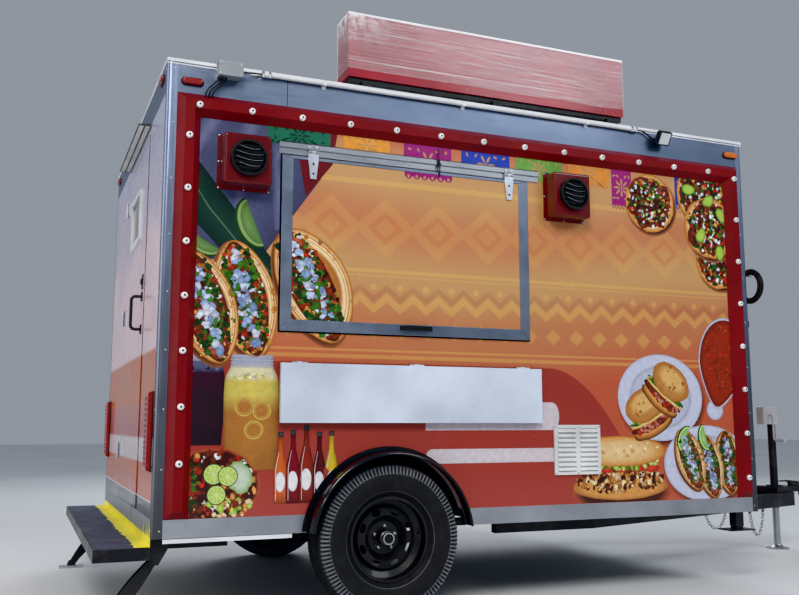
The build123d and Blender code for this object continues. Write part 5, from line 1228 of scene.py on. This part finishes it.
def bun(ink, turn, size=0.98):
    """Half a pressed sandwich: a thin lower crust, the filling's line and a tall upper crust."""
    def layer(v, wide, high, colour, edge, seed, rough=0.05):
        ink.blob(*swung(0, 0, 0, v * size, turn), wide * size, high * size, rim(colour, 0.7, edge),
                 turn, rough, 30, seed)

    def strewn(seed, count, v, wide, high, small, large, palette):
        area = (*swung(0, 0, 0, v * size, turn), wide * size, high * size, turn)
        ink.chips(seed + turn, count, area, small, large, palette)
    layer(-0.060, 0.150, 0.050, TOAST, SHADOW, 1)
    layer(-0.052, 0.142, 0.040, CRUST, TOAST, 1)
    layer(-0.024, 0.148, 0.044, MEAT, DARK_MEAT, 2, 0.12)
    strewn(205, 60, -0.030, 0.135, 0.036, 0.008, 0.018, (srgb(190, 106, 92), srgb(206, 140, 120), MEAT, TOMATO))
    layer(0.000, 0.150, 0.024, srgb(222, 204, 132), CRUST, 3, 0.16)
    layer(0.014, 0.154, 0.022, LEAF, DARK_LEAF, 5, 0.22)
    strewn(225, 30, 0.014, 0.140, 0.014, 0.008, 0.018, (LIME, LEAF, DARK_LEAF))
    layer(0.085, 0.146, 0.098, srgb(190, 134, 76), TOAST, 6)
    layer(0.100, 0.112, 0.066, srgb(220, 176, 112), srgb(192, 136, 78), 7)
    strewn(245, 16, 0.095, 0.110, 0.070, 0.005, 0.014, (CRUST, srgb(222, 184, 128), TOAST))


def bunting(ink, along, wide, high, colour, hole, seed, scallops=6):
    """A hanging sheet of cut paper with a scalloped hem."""
    ink.at(along, 2.44, layer=1)
    hem = [(wide * part, -high - 0.020 * abs(sin(pi * scallops * part))) for part in spaced(0, 1, scallops * 6 + 1)]
    ink.fan([(0, 0)] + hem + [(wide, 0)], fade(shade(colour, 1.1), colour), (wide / 2, -high / 2))

    def cut(u, v, across, tall, turn=0.0, count=10):
        ink.blob(u, v, across, tall, fade(hole, hole), turn, count=count)
    for step in range(scallops):
        cut(wide * (step + 0.5) / scallops, -high - 0.004, 0.008, 0.010)
    dice = Random(seed)
    petals = dice.choice((6, 8))
    centre = (wide / 2, -high * 0.52)
    for petal in range(petals):
        angle = 360 * petal / petals
        cut(*swung(*centre, 0.034, 0, angle), 0.022, 0.007, angle)
    cut(*centre, 0.008, 0.008)
    for u in (0.12, 0.30, 0.70, 0.88):
        for v in (0.22, 0.80):
            cut(wide * u, -high * v, 0.012, 0.006, dice.uniform(0, 180), 8)


def cloth_and_flags(ink):
    """Folded cloth and a dark leaf behind the tacos, and a row of cut paper."""
    ink.at(0, 0)
    ink.fan([(0.10, 2.50), (0.62, 2.50), (0.78, 2.18), (0.50, 1.78), (0.10, 1.70)],
            [(0, srgb(96, 100, 134)), (0.6, srgb(84, 88, 120)), (1, srgb(70, 70, 96))], (0.34, 2.2))
    for start in (0.16, 0.36, 0.56):
        ink.band([(start + 0.10, 2.50), (start - 0.02, 2.25), (start + 0.03, 1.90)], [0.10, 0.06, 0.09],
                 srgb(112, 116, 150), srgb(88, 92, 124))
    ink.fan([(0.62, 2.50), (0.88, 2.50), (0.84, 2.26), (0.70, 2.08)],
            fade(srgb(118, 34, 38), srgb(104, 28, 34)), (0.76, 2.34))
    leaf = [(0.10, 2.16), (0.22, 1.98), (0.38, 1.80), (0.56, 1.66)]
    ink.band(leaf, [0.16, 0.20, 0.17, 0.08], srgb(34, 62, 52), srgb(20, 40, 36))
    ink.band(leaf, [0.004, 0.008, 0.006, 0.002], srgb(86, 118, 92))
    purple, blue, sand = srgb(150, 38, 116), srgb(36, 60, 168), shade(AMBER, 0.9)
    bunting(ink, 0.50, 0.33, 0.085, srgb(44, 108, 84), srgb(26, 60, 52), 30)
    for index, (along, wide, high, colour) in enumerate((
            (0.90, 0.26, 0.100, srgb(222, 150, 62)), (1.24, 0.28, 0.190, purple), (1.58, 0.30, 0.150, blue),
            (1.92, 0.30, 0.130, srgb(104, 158, 72)), (2.26, 0.28, 0.120, srgb(216, 138, 60)),
            (2.56, 0.14, 0.230, purple), (3.02, 0.22, 0.190, blue))):
        bunting(ink, along, wide, high, colour, sand, 31 + index)


def rear_dishes(ink):
    """Folded tacos, drinks, slim bottles and a low plate towards the rear."""
    ink.at(0, 0, layer=1)
    lime_wedge(ink, 0.445, 1.925, 0.132, 112)
    lime_wedge(ink, 0.20, 1.82, 0.10, 150)
    for index, (along, up, turn, size, far) in enumerate((
            (0.735, 1.625, -63, 1.0, 0.205), (0.405, 1.545, -76, 0.94, 0.165), (0.215, 1.495, -72, 0.90, 0.165))):
        ink.at(along, up, size, turn, 2 + index)
        folded_taco(ink, 40 + 7 * index, far)
    ink.at(0.185, 1.066, 0.925, layer=2)
    jar(ink, srgb(46, 30, 38), srgb(52, 24, 38), srgb(88, 92, 124), 0.135, 5)
    ink.at(0.447, 1.00, 1.14, layer=3)
    jar(ink, srgb(172, 116, 62), srgb(204, 186, 96), srgb(214, 208, 170), 0.112, 6)
    ink.at(0, 0.565, layer=2)
    for u, high, colour in ((0.595, 0.34, (196, 96, 50)), (0.657, 0.35, (120, 24, 32)), (0.790, 0.34, (84, 26, 28)),
                            (0.852, 0.345, (206, 176, 60)), (0.724, 0.375, (136, 46, 34))):
        bottle(ink, u, high, srgb(*colour))
    ink.at(0.28, 0.66, layer=4)
    ink.blob(0, 0, 0.21, 0.17, rim(DARK_MEAT, 0.9, RUST), rough=0.1, count=30)
    ink.chips(71, 240, (0, 0, 0.20, 0.16), 0.007, 0.020, FILLING)
    ink.blob(0.115, 0.035, 0.060, 0.075,
             [(0, srgb(206, 216, 206)), (0.7, srgb(186, 204, 176)), (1, srgb(140, 164, 100))], 20, 0.2)
    ink.chips(74, 60, (-0.13, -0.02, 0.06, 0.12), 0.008, 0.020, (LEAF, DARK_LEAF, SALSA))
    ink.chips(75, 60, (0.07, -0.10, 0.11, 0.05), 0.008, 0.022, (CREAM, LIME, CRUST, MEAT))
    for u, v, radius in ((-0.005, 0.050, 0.050), (0.062, 0.040, 0.048), (0.010, -0.045, 0.046)):
        lime_slice(ink, u, v, radius)


def front_dishes(ink):
    """Open tacos high up; below them a bowl, sandwich halves, a roll and a plate of tacos."""
    for index, (along, up, size) in enumerate((
            (2.83, 2.245, 1.04), (3.24, 2.34, 1.22), (3.27, 2.13, 1.12), (3.33, 1.93, 1.02))):
        ink.at(along, up, size, layer=2 + index % 3)
        open_taco(ink, 80 + 5 * index)
    ink.at(0, 0, layer=5)
    for index, (along, up) in enumerate(((3.12, 2.36), (3.27, 2.30), (3.20, 2.08), (3.34, 1.98), (3.36, 2.22))):
        ink.blob(along, up, 0.050, 0.034, [(0, srgb(178, 200, 96)), (0.7, LIME), (1, LEAF)], 30 * index, 0.2, 14, index)
    ink.at(3.345, 1.305, layer=2)

    def bowl(part):
        outline = arc(0, 0, 0.205 * part, 0.275 * part, range(0, 360, 9))
        drops = [max(0.0, -v / (0.275 * part)) for u, v in outline]
        return [(u * (1 - 0.5 * drop) - 0.075 * drop, v) for (u, v), drop in zip(outline, drops)]
    ink.blob(-0.098, -0.280, 0.062, 0.060, rim(CHINA, 0.8, shade(CHINA, 0.6)))
    ink.fan(bowl(1.0), [(0, WHITE), (0.95, CHINA), (1, shade(CHINA, 0.7))])
    ink.fan(bowl(0.95), rim(SALSA, 0.85, shade(SALSA, 0.5)))
    ink.chips(97, 240, (0, 0.035, 0.165, 0.21), 0.004, 0.012, (SALSA, TOMATO, MEAT, srgb(176, 74, 36)))
    ink.at(2.855, 1.095, layer=2)
    plate(ink, 0.30, 0.25)
    ink.at(2.775, 0.975, layer=3)
    bun(ink, 24)
    ink.at(2.880, 1.120, layer=4)
    bun(ink, -38)
    ink.at(2.56, 0.71, layer=2)
    roll(ink, 101)
    ink.at(3.17, 0.715, layer=3)
    plate(ink, 0.31, 0.22)
    for index, (along, up, turn) in enumerate(((3.33, 0.72, -84), (3.19, 0.70, -78), (3.05, 0.74, -70))):
        ink.at(along, up, 0.60, turn, 4 + index)
        folded_taco(ink, 110 + 6 * index)
    ink.at(0, 0, layer=7)
    lime_wedge(ink, 3.02, 0.855, 0.080, 64, 2.2)
    lime_wedge(ink, 3.17, 0.865, 0.080, 104, 2.2)


def side_pictures():
    """The serving side's pictures, along from the rear wall and up from the ground."""
    ink = Print()
    cloth_and_flags(ink)
    rear_dishes(ink)
    front_dishes(ink)
    # Plain pale bands, left blank
    ink.at(0, 0)
    pale = fade(srgb(214, 206, 214), srgb(206, 196, 204))
    ink.fan([(1.36, 0.910), *arc(2.12, 0.985, 0.045, 0.075, range(-90, 91, 15)), (1.36, 1.060)], pale, (1.75, 0.985))
    ink.fan(arc(1.40, 0.777, 0.037, 0.037, range(90, 271, 15)) + [(2.28, 0.740), (2.28, 0.814)], pale, (1.8, 0.777))
    return ink.bm


def drop_faces(bm, unwanted):
    bmesh.ops.delete(bm, geom=[face for face in bm.faces if unwanted(face.calc_center_median())], context="FACES")


def trimmed(bm, low, high, keep_inside=True):
    """Cuts along a rectangle's four lines and drops what lies on the other side of it."""
    for spot, normal in (((low[0], 0, 0), (1, 0, 0)), ((high[0], 0, 0), (1, 0, 0)),
                         ((0, 0, low[1]), (0, 0, 1)), ((0, 0, high[1]), (0, 0, 1))):
        bmesh.ops.bisect_plane(bm, geom=bm.verts[:] + bm.edges[:] + bm.faces[:], plane_co=spot, plane_no=normal)
    drop_faces(bm, lambda at: (low[0] < at.x < high[0] and low[1] < at.z < high[1]) != keep_inside)


def print_on(name, bm, wall, body, ink):
    """Sets a drawing of (along, level, up) on its wall."""
    for vert in bm.verts:
        vert.co = (REAR + vert.co.x, wall - vert.co.y, vert.co.z)
    mesh = bpy.data.meshes.new(name)
    bm.to_mesh(mesh)
    bm.free()
    mesh.materials.append(ink)
    piece = add_object(name, mesh)
    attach(piece, body)


def add_pictures():
    ink = ink_material()
    whole = side_pictures()
    on_hatch = whole.copy()
    low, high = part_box("hatch_panel")
    trimmed(on_hatch, (low.x - REAR, low.z), (high.x - REAR, high.z))
    print_on("wrap_pictures_hatch", on_hatch, low.y, "hatch", ink)
    low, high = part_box("serving_trim")
    trimmed(whole, (low.x - REAR + 0.06, SKIRT_TOP + 0.002), (high.x - REAR - 0.06, FASCIA_LOW - 0.06))
    low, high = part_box("hatch_frame")
    trimmed(whole, (low.x - REAR - 0.006, low.z - 0.006), (high.x - REAR + 0.006, high.z + 0.006), False)
    drop_faces(whole, lambda at: hypot(at.x - (WHEEL_X - REAR), at.z - WHEEL_Z) < FENDER_RADIUS)
    print_on("wrap_pictures_side", whole, NEAR, "trailer", ink)


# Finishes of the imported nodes, and the pieces in their order

def dress(material, *names):
    for name in names:
        node = nodes[name]
        node.data.materials.clear()
        node.data.materials.append(material)


add_camera()
add_stage()
rubber = plastic("cord_rubber", (0.018, 0.018, 0.019), 0.55, grain=600)
black_plastic = plastic("black_plastic", (0.014, 0.014, 0.015), 0.4)
supply_cord(rubber, add_strain_relief(black_plastic))
dress(rubber, "cord_plug", "cord_gland", "fixed_cables")
dress(wrap("wrap_serving", "X", NEAR), "serving_wall")
dress(wrap("wrap_offside", "X", FAR), "offside_wall")
dress(wrap("wrap_hatch", "X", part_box("hatch_panel")[0].y), "hatch_panel")
dress(wrap("wrap_front", "Y", FRONT), "front_wall")
dress(rear_wrap("wrap_rear", REAR), "rear_wall")
dress(rear_wrap("wrap_door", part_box("door_leaf")[0].x), "door_leaf")
add_pictures()

# Steel, aluminium and paint
dress(rail_metal(), "body_rails")
dress(post_finish(), "corner_posts")
dress(painted("canopy_frame", (0.035, 0.036, 0.040), 0.4, 0.2, 0.1), "door_canopy")
roof_sheet = metal("roof_sheet", (0.70, 0.72, 0.75), 0.4, (1, 0.1, 1), 0.3)
dress(roof_sheet, "roof_panel")
dress(metal("floor_sheet", (0.55, 0.56, 0.58), 0.42, (0.2, 1, 1), 0.4), "floor_sheet")
dress(metal("satin_steel", (0.52, 0.54, 0.58), 0.30, (0.12, 1, 1), 0.45), "wall_hinges", "door_hinge_leaves",
      "coil_hook", "jack_leg")
dress(metal("strap_steel", (0.70, 0.73, 0.78), 0.30, (1, 1, 0.15), 0.3, 0.1), "hatch_straps")
dress(conduit_finish(), "fascia_conduit")
dress(metal("header_steel", (0.40, 0.42, 0.45), 0.30, (0.03, 1, 0.3), 0.12, 0.06), "hatch_header")
dress(painted("chassis_black", (0.016, 0.016, 0.018), 0.42, 0.2, 0.25), "floor_frame", "main_rails", "tongue_beams",
      "coupler", "tongue_jack", "axle", "leaf_springs")
dress(stabiliser_finish(), "stabilisers")
dress(painted("well_black", (0.02, 0.02, 0.022), 0.6, 0.0, 0.3), "wheel_wells")
dress(painted("deck_black", (0.014, 0.014, 0.018), 0.4, 0.15, 0.3), "rear_deck")
dress(painted("jack_silver", (0.45, 0.46, 0.48), 0.4, 0.2, 0.2), "jack_head")
dress(painted("gloss_black", (0.006, 0.006, 0.008), 0.20, 0.6, 0.06, 0.0001), "fenders")
dress(painted("wheel_black", (0.012, 0.012, 0.013), 0.36, 0.3, 0.10), "rim_near", "rim_far")
dress(metal("hub_iron", (0.14, 0.14, 0.15), 0.4), "hub_near", "hub_far")
red_paint = painted("trim_red", (0.19, 0.011, 0.013), 0.36, 0.08, 0.04)
red_paint.node_tree.nodes["Principled BSDF"].inputs["Specular IOR Level"].default_value = 0.28
dress(red_paint, "serving_trim")
dress(painted("hood_red", (0.125, 0.008, 0.009), 0.24, 0.5, 0.05), "vent_hoods")
dress(painted("shelf_sheet", (0.60, 0.66, 0.77), 0.3, 0.3, 0.08), "serving_shelf")
dress(black_plastic, "vent_caps", "hatch_handle", "door_handle", "flood_lamp", "sign_base")
dress(plastic("cream_plastic", (0.66, 0.66, 0.66), 0.38, 0.2), "louvre_vent", "door_window_frame")
dress(plastic("dark_glass", (0.012, 0.015, 0.018), 0.06, 1.0), "door_glass")
red_lens = lens("red_lens", (0.30, 0.010, 0.010))
dress(red_lens, "red_lamps")
dress(lens("amber_lens", (0.75, 0.20, 0.02)), "amber_lamps")
dress(plastic("sign_red", (0.30, 0.014, 0.024), 0.3, 0.4), "sign_box")

# Fittings
white_paint = painted("white_paint", (0.74, 0.75, 0.78), 0.35, 0.3, 0.12)
chrome = metal("bright_zinc", (0.72, 0.73, 0.76), 0.16, (1, 1, 1), 0.2)
zinc = metal("plain_zinc", (0.55, 0.57, 0.60), 0.30, (1, 1, 1), 0.3)
trim_lamps(plastic("bulb_white", (0.80, 0.79, 0.78), 0.2, 0.8), black_plastic)
hatch_members(metal("hatch_steel", (0.25, 0.29, 0.37), 0.34, (0.04, 1, 0.04), 0.15, 0.06))
tread_rubber = tyre_rubber()
for end, way in (("near", -1), ("far", 1)):
    tyre_mesh(end, way, tread_rubber)
    wheel_fittings(end, way, zinc, black_plastic)
sign_film(clear_film())
chain_links(zinc)
roof_trim(white_paint, roof_sheet)
# The grip sheet's navy tint is a painted sky reflection on the deck's top.
deck_finish(painted("deck_yellow", (0.86, 0.76, 0.08), 0.5, 0.1, 0.12),
            painted("deck_grip", (0.060, 0.072, 0.120), 0.55, 0.1, 0.12, 0.0012))
tail_lamp_faces(red_lens, black_plastic)
canopy_panels(plastic("canopy_pane", (0.62, 0.62, 0.58), 0.4))
door_furniture(black_plastic, white_paint, rubber)
handle_details(black_plastic)
wall_screws(zinc, black_plastic, red_paint)
strap_fittings(chrome, black_plastic)
fan_wires(chrome)
header_tie(black_plastic)
conduit_fittings(zinc, chrome, white_paint)
lamp_fittings(black_plastic, plastic("flood_pane", (0.55, 0.58, 0.60), 0.08, 1.0))
wall_strips(black_plastic, white_paint)
